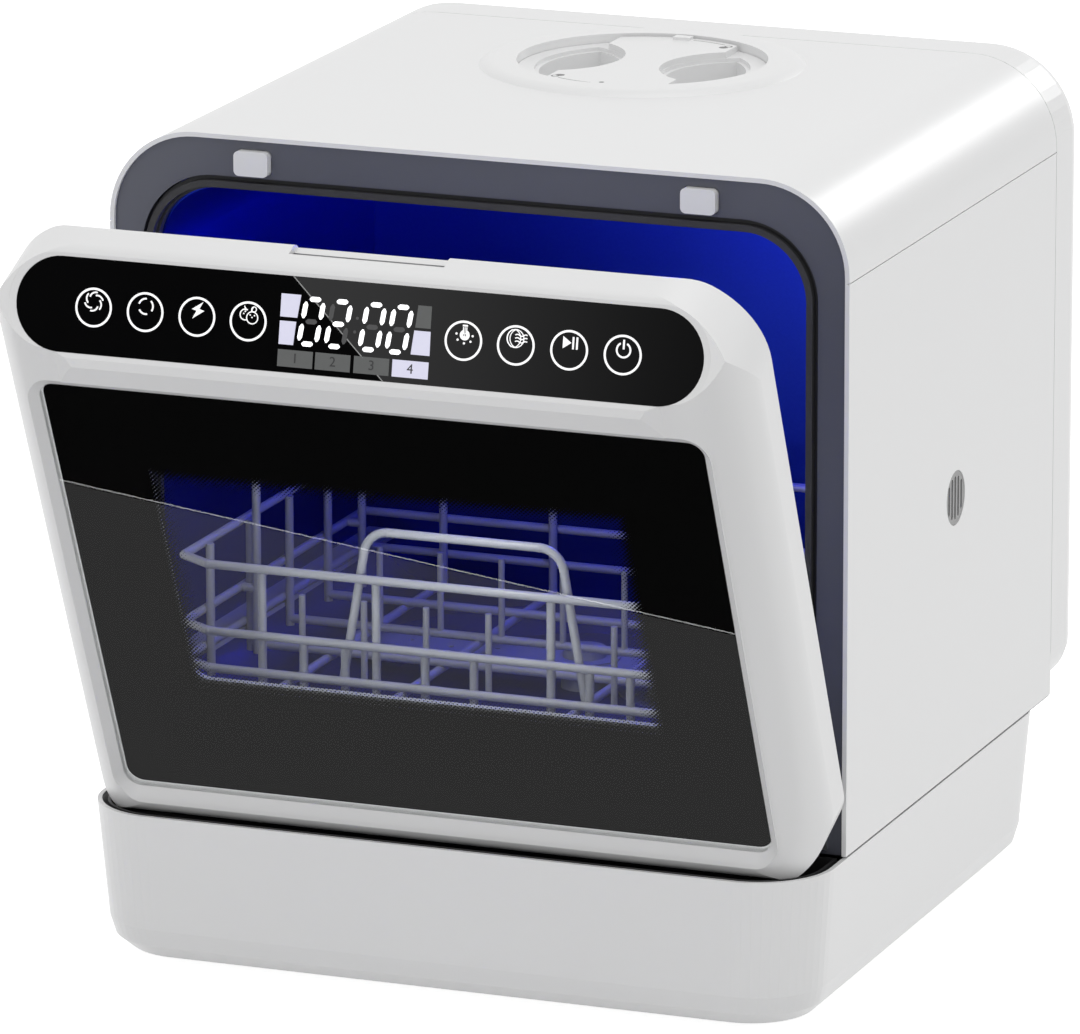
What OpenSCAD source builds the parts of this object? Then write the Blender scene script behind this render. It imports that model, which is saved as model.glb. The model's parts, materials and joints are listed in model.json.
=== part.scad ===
// Countertop dishwasher with a drop-down front door, shown with the door ajar.
// Origin: centre of the base footprint, on the floor. +Z up, +X right, the door faces -Y.
// Sizes are in millimetres.

/* [Body] */
// Width over the side panels
body_w = 420; // [400:1:440]
// Depth of the base, from its front wall to its rear wall
base_d = 402; // [390:1:420]
// Height from the floor to the top cover
body_h = 452; // [445:1:465]
// Height of the base's rim over the floor
base_h = 88; // [84:1:92]
// Height of the feet below the base
foot_h = 3; // [2:0.5:6]
// Radius of the cabinet's top corners, seen from the front
corner_r = 50; // [40:1:55]
// Distance from the base's front wall back to the cabinet's front rim
front_step = 60; // [58:1:64]
// Depth of the rear cover behind the cabinet seam
rear_d = 48; // [44:1:60]
// Wall of the moulded covers
wall = 2.5; // [2:0.1:3.5]
// Width of the seams round the side panels and behind the top cover
seam_w = 0.6; // [0.2:0.1:1]
// Depth of the seams
seam_in = 1.2; // [0.5:0.1:1.5]
// How far the sides of the base draw in towards the floor
base_draft = 5; // [2:0.5:7]
// Radius of the base's upright corners
base_corner_r = 42; // [35:1:50]

/* [Opening] */
// Width of the front frame beside the opening
mouth_side = 18; // [16:1:22]
// Height over the floor of the opening's lower edge
mouth_z0 = 122; // [120:1:126]
// Distance from the top of the cabinet down to the opening
mouth_drop = 23; // [22:1:30]
// Corner radius of the opening
mouth_r = 42; // [34:1:46]
// Depth that the front frame lies behind the cabinet's rim
frame_recess = 2; // [1:0.5:4]
// Width of the gasket channel between the frame and the tub
channel_w = 8; // [7:0.5:10]
// Depth of the tub, from its mouth to its rear wall
tub_d = 298; // [280:1:305]
// Wall of the tub
tub_wall = 2; // [1.5:0.1:3]

/* [Door] */
// Angle that the door stands ajar at rest
door_ajar = 23.6; // [5:0.1:30]
// Thickness of the door behind its glass
door_t = 46.5; // [44:0.5:48]
// Gap between the shut door and the cabinet's rim
door_gap = 1; // [0.5:0.1:2]
// Distance that the hinge axis lies in front of the cabinet's rim
hinge_reach = 22; // [20:0.5:24]
// Height of the hinge axis over the base's rim
hinge_rise = 26; // [24:0.5:30]
// Rise of the door's bezel in front of the glass
bezel_rise = 6; // [4:0.5:8]
// Wall of the door's outer shell
door_wall = 3; // [2:0.1:4]
// Radius of the door's upright front edges
door_edge_r = 35; // [25:1:38]
// Width of the door beside its front glass
glass_side = 25; // [23:1:35]
// Distance from the top of the door down to the front glass, door shut
glass_drop = 72.3; // [70:0.1:90]
// Thickness of the front glass
glass_t = 4; // [3:0.5:5]
// Height of the front glass over the hinge axis, lower edge, door shut
glass_rise = -3.3; // [-4:0.1:6]
// Width of the black print on the front glass beside its clear part
view_side = 48; // [40:1:65]
// Height of the black print over the clear part
view_drop = 50.2; // [45:0.1:70]
// Height of the black print under the clear part
view_foot = 65.8; // [60:0.1:80]
// Depth of the hollow in the door's inner liner
liner_depth = 20.5; // [16:0.5:21]

/* [Control panel] */
// Width of the door beside the control panel
panel_side = 19.8; // [18:0.1:30]
// Height of the control panel
panel_h = 49.6; // [44:0.2:50]
// Thickness of the control panel's lens
panel_t = 2; // [1.5:0.5:3]
// Lean of the control panel, from upright with the door shut
panel_tilt = 34.2; // [28:0.2:36]
// Distance from the top of the door down to the middle of the panel
panel_drop = 24.5; // [24:0.5:28]
// Number of touch keys on each side of the display
keys = 4; // [2:1:4]
// Distance from the middle of the panel to the first key
key_start = 59.4; // [56:0.1:64]
// Distance from the last key to the end of the panel
key_side = 43.5; // [40:0.1:60]
// Width of the finger notch in the door's top edge
notch_w = 86; // [60:1:110]

/* [Latches] */
// Width of each latch block
latch_w = 19.5; // [16:0.5:24]
// Height of each latch block
latch_h = 13.5; // [10:0.5:14]
// Distance of each latch block from the side panel's face
latch_side = 83.3; // [70:0.1:100]
// Distance that a latch block stands out of the frame
latch_out = 5; // [4:0.5:6]
// Travel of a latch block when it is pressed
latch_travel = 4; // [3:0.5:4.5]

/* [Basket] */
// Diameter of the coated wire
wire_d = 4.8; // [4:0.1:5]
// Gap between the basket and the tub's side
basket_gap = 16; // [14:0.5:24]
// Depth of the basket over its wires
basket_l = 272; // [250:1:276]
// Height of the feet of the basket over the hinge axis
basket_rise = 31; // [30:0.5:34]
// Heights of the top, middle and bottom rails over the basket's feet
rail_z = [76, 39, 18.5];
// Cut across the basket's front corners, across and back
corner_cut = [20, 13];
// Places of the front uprights that reach down to the feet
long_x = [-116, -50, 50, 116];
// Places of the short front uprights
short_x = [-92, -68, -22, 6, 72, 95];
// Height of the handle over the basket's feet
handle_z = 104; // [95:1:110]
// Half width of the handle at its foot and at its top
handle_x = [70, 55];
// Distance that the basket stands out of its shut place, at rest
basket_out = 28; // [0:0.5:28]

/* [Cup shelf] */
// Width of the folding cup shelf
shelf_w = 112; // [90:1:116]
// Distance between the cup shelf's posts
shelf_l = 150; // [120:1:160]
// Height of the cup shelf over the floor
shelf_z = 296; // [285:1:298]

/* [Water] */
// Radius of the fill cap
cap_r = 69; // [60:0.5:72]
// Radius of the raised collar round the fill cap
collar_r = 90; // [84:0.5:94]
// Distance of the fill cap in front of the rear cover's seam
cap_back = 92; // [89:1:101]
// Depth of the fill cap's finger wells
well_d = 15; // [8:0.5:16]
// Radius swept by the spray arm
spray_r = 142; // [120:1:145]
// Radius of the filter cup
filter_r = 34; // [26:0.5:38]
// Radius of the drain spigot
drain_r = 9; // [8:0.25:10]
// Radius over the thread of the water inlet
inlet_r = 13.2; // [12:0.1:14]

/* [Fan] */
// Radius of the round side vent
vent_r = 15; // [12:0.5:20]
// Distance of the side vent behind the body's middle
vent_y = 33.5; // [20:0.5:50]
// Height of the side vent over the floor
vent_z = 243; // [220:1:260]
// Number of slots in the side vent
vent_slots = 5; // [3:1:7]
// Number of blades on the drying fan
blades = 7; // [5:1:11]

/* [Hidden] */
$fn = 96;
eps = 0.01;

// Colours
white = [0.93, 0.93, 0.93];
slate = [0.27, 0.28, 0.33];
black = [0.03, 0.03, 0.035];
rubber = [0.10, 0.10, 0.11];
steel = [0.72, 0.73, 0.75];
wire_grey = [0.50, 0.51, 0.56];
clear = [0.55, 0.6, 0.7, 0.35];
vent_grey = [0.55, 0.56, 0.57];
board_green = [0.06, 0.32, 0.18];
inner_grey = [0.62, 0.63, 0.65];

// Clearances
seat = 0.3;
running = 0.05;
pane_gap = 0.5;

// Body
shell_y = -base_d / 2 + front_step;
seam_y = base_d / 2;
side_top = body_h - corner_r - 2;
rear_y = seam_y + rear_d;
frame_y = shell_y + frame_recess;
frame_t = 3;
mouth_w = body_w - 2 * mouth_side;
mouth_z1 = body_h - mouth_drop;
latch_z = mouth_z1 + 1.8 + latch_h / 2;
deck_t = 1.2;
panel_foot = base_h + deck_t;
plate_t = 3;
floor_top = foot_h + wall + plate_t;
half_w = body_w / 2;
hatch_in = 75;
latch_x = half_w - latch_side;
cap_y = seam_y - cap_back;

// Tub
tub_w = mouth_w - 2 * channel_w;
tub_z0 = mouth_z0 + channel_w - 2;
tub_z1 = mouth_z1 - channel_w;
tub_r = mouth_r - channel_w + 2;
tub_y0 = frame_y + 8;
tub_y1 = tub_y0 + tub_d;
tub_floor = tub_z0 - 8;
arm_y = (tub_y0 + tub_y1) / 2 + 2;
post_r = 13;
spout_r = 14.5;
sump_x = 60;
sump_y = arm_y + 12;

// Door, as it stands when shut
hinge_y = shell_y - hinge_reach;
hinge_z = base_h + hinge_rise;
door_back = shell_y - door_gap;
glass_y = door_back - door_t;
face_y = glass_y - bezel_rise;
heel_r = hinge_reach - door_gap;
door_bottom = hinge_z - heel_r;
door_bottom_r = 24;
glass_w = body_w - 2 * glass_side;
glass_h = body_h - glass_drop - hinge_z - glass_rise;
glass_z = hinge_z + glass_rise + glass_h / 2;
glass_r = 9;
view_w = glass_w - 2 * view_side;
view_h = glass_h - view_drop - view_foot;
view_z = hinge_z + glass_rise + view_foot + view_h / 2;
panel_l = body_w - 2 * panel_side;
key_pitch = (panel_l / 2 - key_side - key_start) / (keys - 1);
lip_w = 7;
panel_y = glass_y + 7.3;
panel_z = body_h - panel_drop;
panel_rise = 1.2;
ridge_drop = 49;
ridge_z = body_h - ridge_drop;
flare_z = ridge_z - 17;
top_round = 10;
liner_y = door_back - liner_depth;
liner_t = 2.5;
liner_w = mouth_w - 12;
liner_z0 = mouth_z0 + 6;
liner_z1 = mouth_z1 - 5;
pin_r = 4;
pin_x = half_w - 21;
arm_t = 4;
arm_x = pin_x - 9;
bracket_t = 4;
slot_w = 10;
ledge_t = 3;
inner_glass_w = view_w + 30;
inner_glass_h = view_h + 30;
inner_glass_t = 3;

// Basket
basket_half = tub_w / 2 - basket_gap - wire_d / 2;
basket_z = hinge_z + basket_rise;
foot_z = basket_z + wire_d / 2;
shelf_fold_r = 2;
basket_y0 = shell_y + wire_d / 2 + 4 - basket_out;
basket_y1 = basket_y0 + basket_l - wire_d;
runner_z = basket_z + rail_z[2] - wire_d / 2;
side_y = [40, 95, 150, 205];
post_y = [90, 90 + shelf_l];
post_x = basket_half - wire_d * 0.8 - 6;
shelf_x = post_x - 8;
clip_l = 10;

// Water
lamp_x = 70;
cap_top = body_h + 1.5;
fan_pin_r = 1.6;

function slope_y(z) =
  panel_y - panel_rise * cos(panel_tilt)
  + (z - panel_z - panel_rise * sin(panel_tilt)) * tan(panel_tilt);

function top_round_y(i) =
  slope_y(body_h - i - top_round)
  + top_round / cos(panel_tilt) + i / cos(panel_tilt);

// ---- Shared shapes ----

// A rounded rectangle about the origin
module rounded(w, h, r) {
  square([w - 2 * r, h], center = true);
  square([w, h - 2 * r], center = true);
  for (x = [-1, 1], y = [-1, 1])
    translate([x * (w / 2 - r), y * (h / 2 - r)]) circle(r);
}

// An upright outline from z0 to z1 with its own top and bottom corner radii
module outline(w, z0, z1, r_top, r_bottom) {
  translate([-w / 2, z0 + r_bottom]) square([w, z1 - z0 - r_top - r_bottom]);
  translate([-w / 2 + r_top, z1 - r_top - 1]) square([w - 2 * r_top, r_top + 1]);
  translate([-w / 2 + r_bottom, z0])
    square([w - 2 * r_bottom, r_bottom + 1]);
  for (x = [-1, 1]) {
    translate([x * (w / 2 - r_top), z1 - r_top]) circle(r_top);
    if (r_bottom > 0)
      translate([x * (w / 2 - r_bottom), z0 + r_bottom]) circle(r_bottom);
  }
}

// Extrudes an outline drawn in X and Z along Y
module along_y(y0, y1) {
  translate([0, y1, 0]) rotate([90, 0, 0]) linear_extrude(y1 - y0) children();
}

// Extrudes an outline drawn in Y and Z along X
module along_x(x0, x1) {
  translate([x0, 0, 0]) rotate([90, 0, 90]) linear_extrude(x1 - x0) children();
}

// A box given by its lowest and highest corners
module box(low, high) {
  translate(low) cube(high - low);
}

// A round wire between two points
module wire(p, q, d = wire_d) {
  v = q - p;
  translate(p)
    rotate([0, acos(v[2] / norm(v)), atan2(v[1], v[0])])
      cylinder(h = norm(v), d = d, $fn = 24);
}

// A bent wire through a list of points
module bent_wire(points, d = wire_d, bend_r = 8, join = 0.15) {
  last = len(points) - 1;
  for (i = [0 : last - 1]) {
    way = unit(points[i + 1] - points[i]);
    start = i == 0 ? 0 : bend_cut(points, i, bend_r);
    end = i == last - 1 ? 0 : bend_cut(points, i + 1, bend_r);
    gap = bend_r > 0 ? join : 0;
    wire(points[i] + (start + (i > 0 ? gap : 0)) * way,
      points[i + 1] - (end + (i < last - 1 ? gap : 0)) * way, d);
    if (join > 0 && i > 0) translate(points[i] + start * way) sphere(d = d + 2 * join, $fn = 24);
    if (join > 0 && i < last - 1 && bend_r > 0)
      translate(points[i + 1] - end * way) sphere(d = d + 2 * join, $fn = 24);
  }
  if (last > 1 && bend_r > 0) for (i = [1 : last - 1])
    bend(points[i - 1], points[i], points[i + 1], d, bend_r);
}

function unit(v) = v / norm(v);

// How far a bend reaches along its wires from their corner
function bend_cut(points, i, r) =
  r * tan(turn(points[i - 1], points[i], points[i + 1]) / 2);

// The angle by which a wire turns at a corner
function turn(p, q, s) = acos(unit(q - p) * unit(s - q));

// A round bend of a wire at the corner q
module bend(p, q, s, d, r) {
  u = unit(q - p);
  w = unit(s - q);
  angle = turn(p, q, s);
  inward = unit(w - u);
  centre = q + inward * r / cos(angle / 2);
  out_x = unit(q - u * r * tan(angle / 2) - centre);
  axis = unit(cross(u, w));
  out_y = cross(axis, out_x);
  multmatrix([
    [out_x[0], out_y[0], axis[0], centre[0]],
    [out_x[1], out_y[1], axis[1], centre[1]],
    [out_x[2], out_y[2], axis[2], centre[2]],
    [0, 0, 0, 1]])
    rotate_extrude(angle = angle) translate([r, 0]) circle(d = d, $fn = 24);
}

// Turns a shut door's piece to where it stands ajar
module on_door() {
  translate([0, hinge_y, hinge_z]) rotate([door_ajar, 0, 0])
    translate([0, -hinge_y, -hinge_z]) children();
}

// Places a piece on the leaning face of the control panel
module on_panel() {
  translate([0, panel_y, panel_z]) rotate([90 - panel_tilt, 0, 0]) children();
}

// ---- Base ----

// The base's outer form, drawn in towards the floor and rounded below
module base_form(inset) {
  top_w = body_w - 2 * inset;
  top_d = base_d - 2 * inset;
  low = foot_h + inset;
  round_r = 20 - inset;
  hull() {
    translate([0, 0, base_h - 1]) linear_extrude(1)
      rounded(top_w, top_d, base_corner_r - inset, $fn = 48);
    for (a = [0, 30, 60, 90]) {
      shrink = base_draft + round_r * (1 - cos(a));
      translate([0, 0, low + round_r * (1 - sin(a))]) linear_extrude(0.1)
        rounded(top_w - 2 * shrink, top_d - 2 * shrink,
          base_corner_r - inset - shrink / 2, $fn = 48);
    }
  }
}

module base_housing() {
  color(white) difference() {
    base_form(0);
    base_form(wall);
    translate([0, 0, base_h - 2]) linear_extrude(4)
      rounded(body_w - 2 * wall, base_d - 2 * wall, base_corner_r - wall, $fn = 48);
    translate([0, 0, -1]) linear_extrude(foot_h + wall + 6)
      hatch(0);
  }
}

// The outline of the hatch in the base's floor, grown by a gap
module hatch(grow) {
  rounded(body_w - 2 * (hatch_in - grow), base_d - 2 * (hatch_in - grow), 12);
}

module base_plate() {
  color(inner_grey) difference() {
    union() {
      translate([0, 0, foot_h + wall]) linear_extrude(plate_t) hatch(8);
      translate([0, 0, foot_h]) linear_extrude(wall) hatch(-seat);
    }
    for (x = [-1, 1], y = [-1, 0, 1])
      translate([x * (half_w / 2 - 20), y * (seam_y / 2 - 15), foot_h - 1]) linear_extrude(10)
        rounded(50, 8, 3.9);
  }
}

module feet() {
  color(rubber) {
    for (x = [-1, 1], y = [-1, 1])
      translate([x * (half_w - 62), y * (seam_y - 62), 0]) foot();
  }
}

module foot() {
  cylinder(h = foot_h, r1 = 9, r2 = 11);
}

// The floor of the cabinet, which closes the gap over the base
module chassis_plate() {
  color(black) difference() {
    box([-half_w + 1, frame_y + frame_t, base_h], [half_w - 1, seam_y, panel_foot]);
    translate([10, arm_y + 10, base_h - 1]) linear_extrude(deck_t + 2)
      rounded(tub_w - 68, tub_d - 48, 20);
  }
}

// The black pan under the door, which the door's lower edge swings through
module door_well() {
  well_z = hinge_z - 42;
  color(black) difference() {
    well_form(0, well_z - 2, base_h - 0.5);
    well_form(1.5, well_z, base_h);
  }
}

module well_form(inset, z0, z1) {
  grow = 2 * (wall + 3 + inset);
  translate([0, 0, z0]) linear_extrude(z1 - z0) intersection() {
    rounded(body_w - grow, base_d - grow, base_corner_r - grow / 2);
    translate([-half_w, -base_d]) square([body_w, base_d + frame_y - inset]);
  }
}

// ---- Cabinet ----

module tub() {
  color(steel) difference() {
    union() {
      along_y(tub_y0, tub_y1 + tub_wall)
        outline(tub_w + 2 * tub_wall, tub_z0 - tub_wall, tub_z1 + tub_wall,
          tub_r + tub_wall, tub_r + tub_wall);
      along_y(tub_y0, tub_y0 + tub_wall)
        outline(mouth_w - 1, mouth_z0 + 0.5, mouth_z1 - 0.5, mouth_r - 1, mouth_r - 1);
      translate([0, arm_y, tub_floor - tub_wall])
        cylinder(h = 9, r1 = spray_r - 30, r2 = spray_r + 6);
    }
    along_y(tub_y0 - 1, tub_y1)
      outline(tub_w, tub_z0, tub_z1, tub_r, tub_r);
    translate([0, arm_y, tub_floor])
      cylinder(h = tub_z0 - tub_floor + 0.5, r1 = spray_r - 32, r2 = spray_r + 4);
    translate([0, arm_y, tub_floor - 5]) cylinder(h = 10, r = post_r + running);
    translate([sump_x, sump_y, tub_floor - 5]) cylinder(h = 10, r = filter_r + 2);
    translate([0, cap_y, tub_z1 - 5]) cylinder(h = 10, r = spout_r + seat);
    translate([half_w - 40, vent_y, vent_z]) rotate([0, 90, 0])
      cylinder(h = 40, r = vent_r);
    for (x = [-1, 1])
      translate([x * lamp_x, 0, tub_z1 - 5]) cylinder(h = 10, r = 5);
  }
}

module front_frame() {
  collar = 1.2;
  color(slate) difference() {
    union() {
      along_y(frame_y, frame_y + frame_t)
        outline(body_w - 2 * wall, panel_foot, body_h - wall, corner_r - wall, 2);
      box([-half_w + 24, frame_y, base_h - 12], [half_w - 24, frame_y + frame_t, panel_foot + 4]);
      along_y(frame_y, tub_y0)
        outline(mouth_w + 2 * collar, mouth_z0 - collar, mouth_z1 + collar,
          mouth_r + collar, mouth_r + collar);
    }
    along_y(frame_y - 1, tub_y0 + 1)
      outline(mouth_w, mouth_z0, mouth_z1, mouth_r, mouth_r);
    for (x = [-1, 1])
      translate([x * latch_x, 0, latch_z]) along_y(frame_y - 1, frame_y + frame_t + 1)
        rounded(latch_w + 2 * seat, latch_h + 2 * seat, 3 + seat);
  }
}

module door_gasket() {
  ring = channel_w - 1;
  bulb_w = 3.5;
  color(rubber) {
    difference() {
      along_y(tub_y0 - 4.7, tub_y0)
        outline(mouth_w - 1, mouth_z0 + 0.5, mouth_z1 - 0.5, mouth_r - 0.5, mouth_r - 0.5);
      along_y(tub_y0 - 6, tub_y0 + 1)
        outline(mouth_w - 1 - 2 * ring, mouth_z0 + 0.5 + ring, mouth_z1 - 0.5 - ring,
          mouth_r - ring, mouth_r - ring);
    }
    difference() {
      along_y(door_back + 1.2, tub_y0 - 4.7 + eps)
        outline(mouth_w - 5, mouth_z0 + 2.5, mouth_z1 - 2.5, mouth_r - 2.5, mouth_r - 2.5);
      along_y(door_back, tub_y0)
        outline(mouth_w - 5 - 2 * bulb_w, mouth_z0 + 2.5 + bulb_w, mouth_z1 - 2.5 - bulb_w,
          mouth_r - 2.5 - bulb_w, mouth_r - 2.5 - bulb_w);
    }
  }
}

// The groove that shows as a seam in front of the rear cover
module rear_seam() {
  along_y(seam_y - seam_w, seam_y + 1) difference() {
    outline(body_w + 2, 0, body_h + 1, corner_r + 1, 0);
    outline(body_w - 2 * seam_in, -1, body_h - seam_in, corner_r - seam_in, 0);
  }
}

module top_cover() {
  color(white) difference() {
    along_y(shell_y, seam_y) outline(body_w, side_top - corner_r, body_h, corner_r, 0);
    along_y(shell_y - 1, seam_y + 1)
      outline(body_w - 2 * wall, side_top - corner_r - 1, body_h - wall, corner_r - wall, 0);
    box([-body_w, shell_y - 1, side_top - 2 * corner_r], [body_w, seam_y + 1, side_top]);
    translate([0, cap_y, body_h - 10]) cylinder(h = 20, r = cap_r + 6);
    rear_seam();
  }
}

module side_panel(side) {
  vented = side > 0;
  color(white) difference() {
    box([side > 0 ? half_w - wall : -half_w, shell_y, panel_foot],
        [side > 0 ? half_w : -half_w + wall, seam_y, side_top]);
    rear_seam();
    translate([side * half_w, 0, side_top])
      cube([2 * seam_in, 2 * base_d, 2 * seam_w], center = true);
    if (vented)
      translate([half_w - 10, vent_y, vent_z]) rotate([0, 90, 0])
        cylinder(h = 20, r = vent_r + seat / 2);
  }
}

module side_panel_left() { side_panel(-1); }

module side_panel_right() { side_panel(1); }

// The rear cover's dished form
module rear_form(inset) {
  round_r = 20 - inset;
  hull() {
    along_y(seam_y - (inset > 0 ? 1 : 0), rear_y - 20)
      outline(body_w - 2 * inset, base_h + 0.5 + inset, body_h - inset,
        corner_r - inset, 26 - inset, $fn = 48);
    for (a = [22.5, 45, 67.5, 90]) {
      shrink = inset + round_r * (1 - cos(a));
      along_y(rear_y - 21, rear_y - 20 + round_r * sin(a))
        outline(body_w - 2 * shrink, base_h + 0.5 + shrink, body_h - shrink,
          corner_r - shrink, 26 - shrink, $fn = 48);
    }
  }
}

module rear_cover() {
  recess_low = [-half_w + 26, rear_y - recess_d, base_h + 18];
  recess_high = [-half_w + 168, rear_y + 1, base_h + 72];
  color(white) difference() {
    union() {
      difference() {
        rear_form(0);
        rear_form(wall);
      }
      box([recess_low[0] - wall, recess_low[1] - wall, recess_low[2] - wall],
          [recess_high[0] + wall, rear_y - wall / 2, recess_high[2] + wall]);
    }
    box(recess_low, recess_high);
    for (i = [0 : 8])
      translate([0, 0, body_h - 110 - i * 11]) along_y(rear_y - 12, rear_y + 1)
        rounded(150, 4.5, 2.2);
    for (p = port_places)
      translate([p[0], port_y - 1, p[1]]) rotate([-90, 0, 0]) cylinder(h = 10, r = p[2] + seat);
    for (s = screw_places)
      translate([s[0], rear_y - 8, s[1]]) rotate([-90, 0, 0]) cylinder(h = 10, r = 2.2);
  }
}

// Depth of the recess that holds the ports
recess_d = 30;
port_y = rear_y - recess_d - wall;

// Across, height and radius of the drain spigot, water inlet and cord gland
port_places = [
  [-half_w + 46, base_h + 45, drain_r],
  [-half_w + 92, base_h + 45, inlet_r],
  [-half_w + 140, base_h + 45, 7]];

// Across and height of the rear cover's screws
screw_places = [
  [-half_w + 60, body_h - 60], [half_w - 60, body_h - 60],
  [-half_w + 60, body_h / 2 + 10], [half_w - 60, body_h / 2 + 10],
  [half_w - 60, base_h + 40]];

module cover_screws() {
  color(steel) for (s = screw_places)
    translate([s[0], rear_y, s[1]]) rotate([90, 0, 0]) {
      difference() {
        translate([0, 0, -1.6]) cylinder(h = 1.6, r = 3.6);
        translate([0, 0, -2]) linear_extrude(1.2) square([5, 0.9], center = true);
      }
      cylinder(h = 10, r = 2);
    }
}

module side_vent_grille() {
  pitch = 2 * vent_r / (vent_slots + 1);
  bar_gap = pitch * 0.5;
  color(vent_grey) translate([half_w - wall - 2, vent_y, vent_z]) rotate([0, 90, 0])
    difference() {
      union() {
        cylinder(h = 2, r = vent_r + 5);
        cylinder(h = wall + 1.6, r = vent_r);
      }
      for (i = [0 : vent_slots - 1]) {
        y = (i - (vent_slots - 1) / 2) * pitch;
        slot_l = 2 * sqrt(vent_r * vent_r - y * y) - 6;
        translate([0, y, -1]) linear_extrude(wall + 4) rounded(slot_l, bar_gap, bar_gap / 2.1);
      }
    }
}

// ---- Fill cap ----

module inlet_collar() {
  slope_w = 8;
  rise = cap_top + 1.5 - body_h;
  color(white) translate([0, cap_y, 0]) rotate_extrude() {
    translate([cap_r + seat, body_h - 12]) square([3, 13]);
    translate([cap_r + seat, body_h]) square([collar_r - cap_r - seat - slope_w, rise]);
    translate([collar_r - slope_w, body_h]) quarter_round(slope_w, rise);
  }
}

// A low rounded edge, r wide and h high
module quarter_round(r, h) {
  big = (r * r + h * h) / (2 * h);
  intersection() {
    square([r, h]);
    translate([0, h - big]) circle(big);
  }
}

module fill_funnel() {
  floor_z = tub_z1 + tub_wall + 1;
  color(white) translate([0, cap_y, 0]) difference() {
    rotate_extrude() polygon([
      [12, floor_z - 12], [spout_r, floor_z - 12], [spout_r, floor_z + 2], [cap_r + 4, floor_z + 4],
      [cap_r + 5.5, floor_z + 4], [cap_r + 5.5, body_h - wall - 0.2], [cap_r + 3.5, body_h - wall - 0.2],
      [cap_r + 3.5, floor_z + 6], [14, floor_z + 4], [12, floor_z + 4]]);
  }
}

// A finger well beside the cap's grip: the grip's waist is hollowed by a circle
module finger_well(gap) {
  waist = 13 + gap;
  scoop_r = cap_r * 0.66;
  intersection() {
    circle(cap_r - 9 - gap);
    translate([waist + scoop_r, 0]) circle(scoop_r);
  }
}

module inlet_cap() {
  floor_z = cap_top - 3.5;
  scoop_r = cap_r * 0.66;
  color(white) translate([0, cap_y, 0]) difference() {
    union() {
      translate([0, 0, floor_z - 18]) cylinder(h = 16, r = cap_r - 2);
      translate([0, 0, floor_z - 2.5]) cylinder(h = 2.5, r = cap_r);
      translate([0, 0, floor_z - 1]) linear_extrude(cap_top - floor_z + 1) difference() {
        circle(cap_r - 2);
        for (x = [-1, 1]) translate([x * (13 + scoop_r), 0]) circle(scoop_r);
        for (x = [-1, 1]) translate([x * cap_r, 0]) square([cap_r, 2 * cap_r], center = true);
      }
      translate([-5, cap_r - 8, floor_z]) cube([10, 6, cap_top - floor_z + 1.5]);
    }
    for (side = [0, 1]) mirror([side, 0, 0]) {
      translate([0, 0, floor_z - well_d]) linear_extrude(well_d + 1) finger_well(3);
      translate([0, 0, floor_z - 2]) linear_extrude(3) finger_well(0.5);
    }
    translate([0, 0, floor_z - 19]) rotate_extrude() translate([cap_r - 8, 0]) square([4, 3]);
  }
}

module cap_seal() {
  color(rubber) translate([0, cap_y, cap_top - 14]) rotate_extrude()
    translate([cap_r - 2, 0]) square([1.6, 4]);
}

// ---- Water path ----

module water_tank() {
  low = [-half_w + 30, shell_y + 12, floor_top];
  high = [14, seam_y - 34, base_h - 14];
  color(inner_grey) difference() {
    box(low, high);
    box(low + [2, 2, 2], high - [2, 2, 2]);
    translate([0, cap_y, high[2] - 4]) cylinder(h = 8, r = 10);
  }
}

module sump() {
  sump_h = 36;
  cup_room = 3;
  color(inner_grey) translate([sump_x, sump_y, tub_floor - tub_wall - sump_h]) difference() {
    union() {
      cylinder(h = sump_h, r1 = filter_r - 2, r2 = filter_r + 6);
      translate([0, 0, 10]) rotate([0, 90, 0]) cylinder(h = filter_r + 14, r = 8);
    }
    translate([0, 0, cup_room]) cylinder(h = sump_h, r1 = filter_r - 6, r2 = filter_r + 2);
    translate([0, 0, 10]) rotate([0, 90, 0]) cylinder(h = filter_r + 20, r = 5.5);
  }
}

module filter_plate() {
  color(steel) translate([sump_x, sump_y, tub_floor]) difference() {
    cylinder(h = 1.2, r = filter_r + 8);
    translate([0, 0, -1]) cylinder(h = 4, r = filter_r - 8 + seat);
    for (a = [0 : 20 : 340]) rotate(a) translate([filter_r + 1, 0, -1]) cylinder(h = 4, r = 2.5);
  }
}

module filter_cup() {
  cup_r = filter_r - 8;
  color(inner_grey) translate([sump_x, sump_y, 0]) {
    difference() {
      translate([0, 0, tub_floor - 30]) cylinder(h = 33, r = cup_r);
      translate([0, 0, tub_floor - 28]) cylinder(h = 36, r = cup_r - 2);
      for (a = [0 : 30 : 330]) rotate(a) translate([cup_r, 0, tub_floor - 20])
        cube([8, 5, 6], center = true);
    }
    box([-cup_r + 1, -2, tub_floor - 6], [cup_r - 1, 2, tub_floor + 3]);
  }
}

module spray_post() {
  color(inner_grey) translate([0, arm_y, 0]) difference() {
    union() {
      translate([0, 0, tub_floor - 20]) cylinder(h = 28, r = post_r);
      translate([0, 0, tub_floor]) cylinder(h = 16, r = 7);
    }
    translate([0, 0, tub_floor - 21]) cylinder(h = 60, r = 4.5);
  }
}

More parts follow.
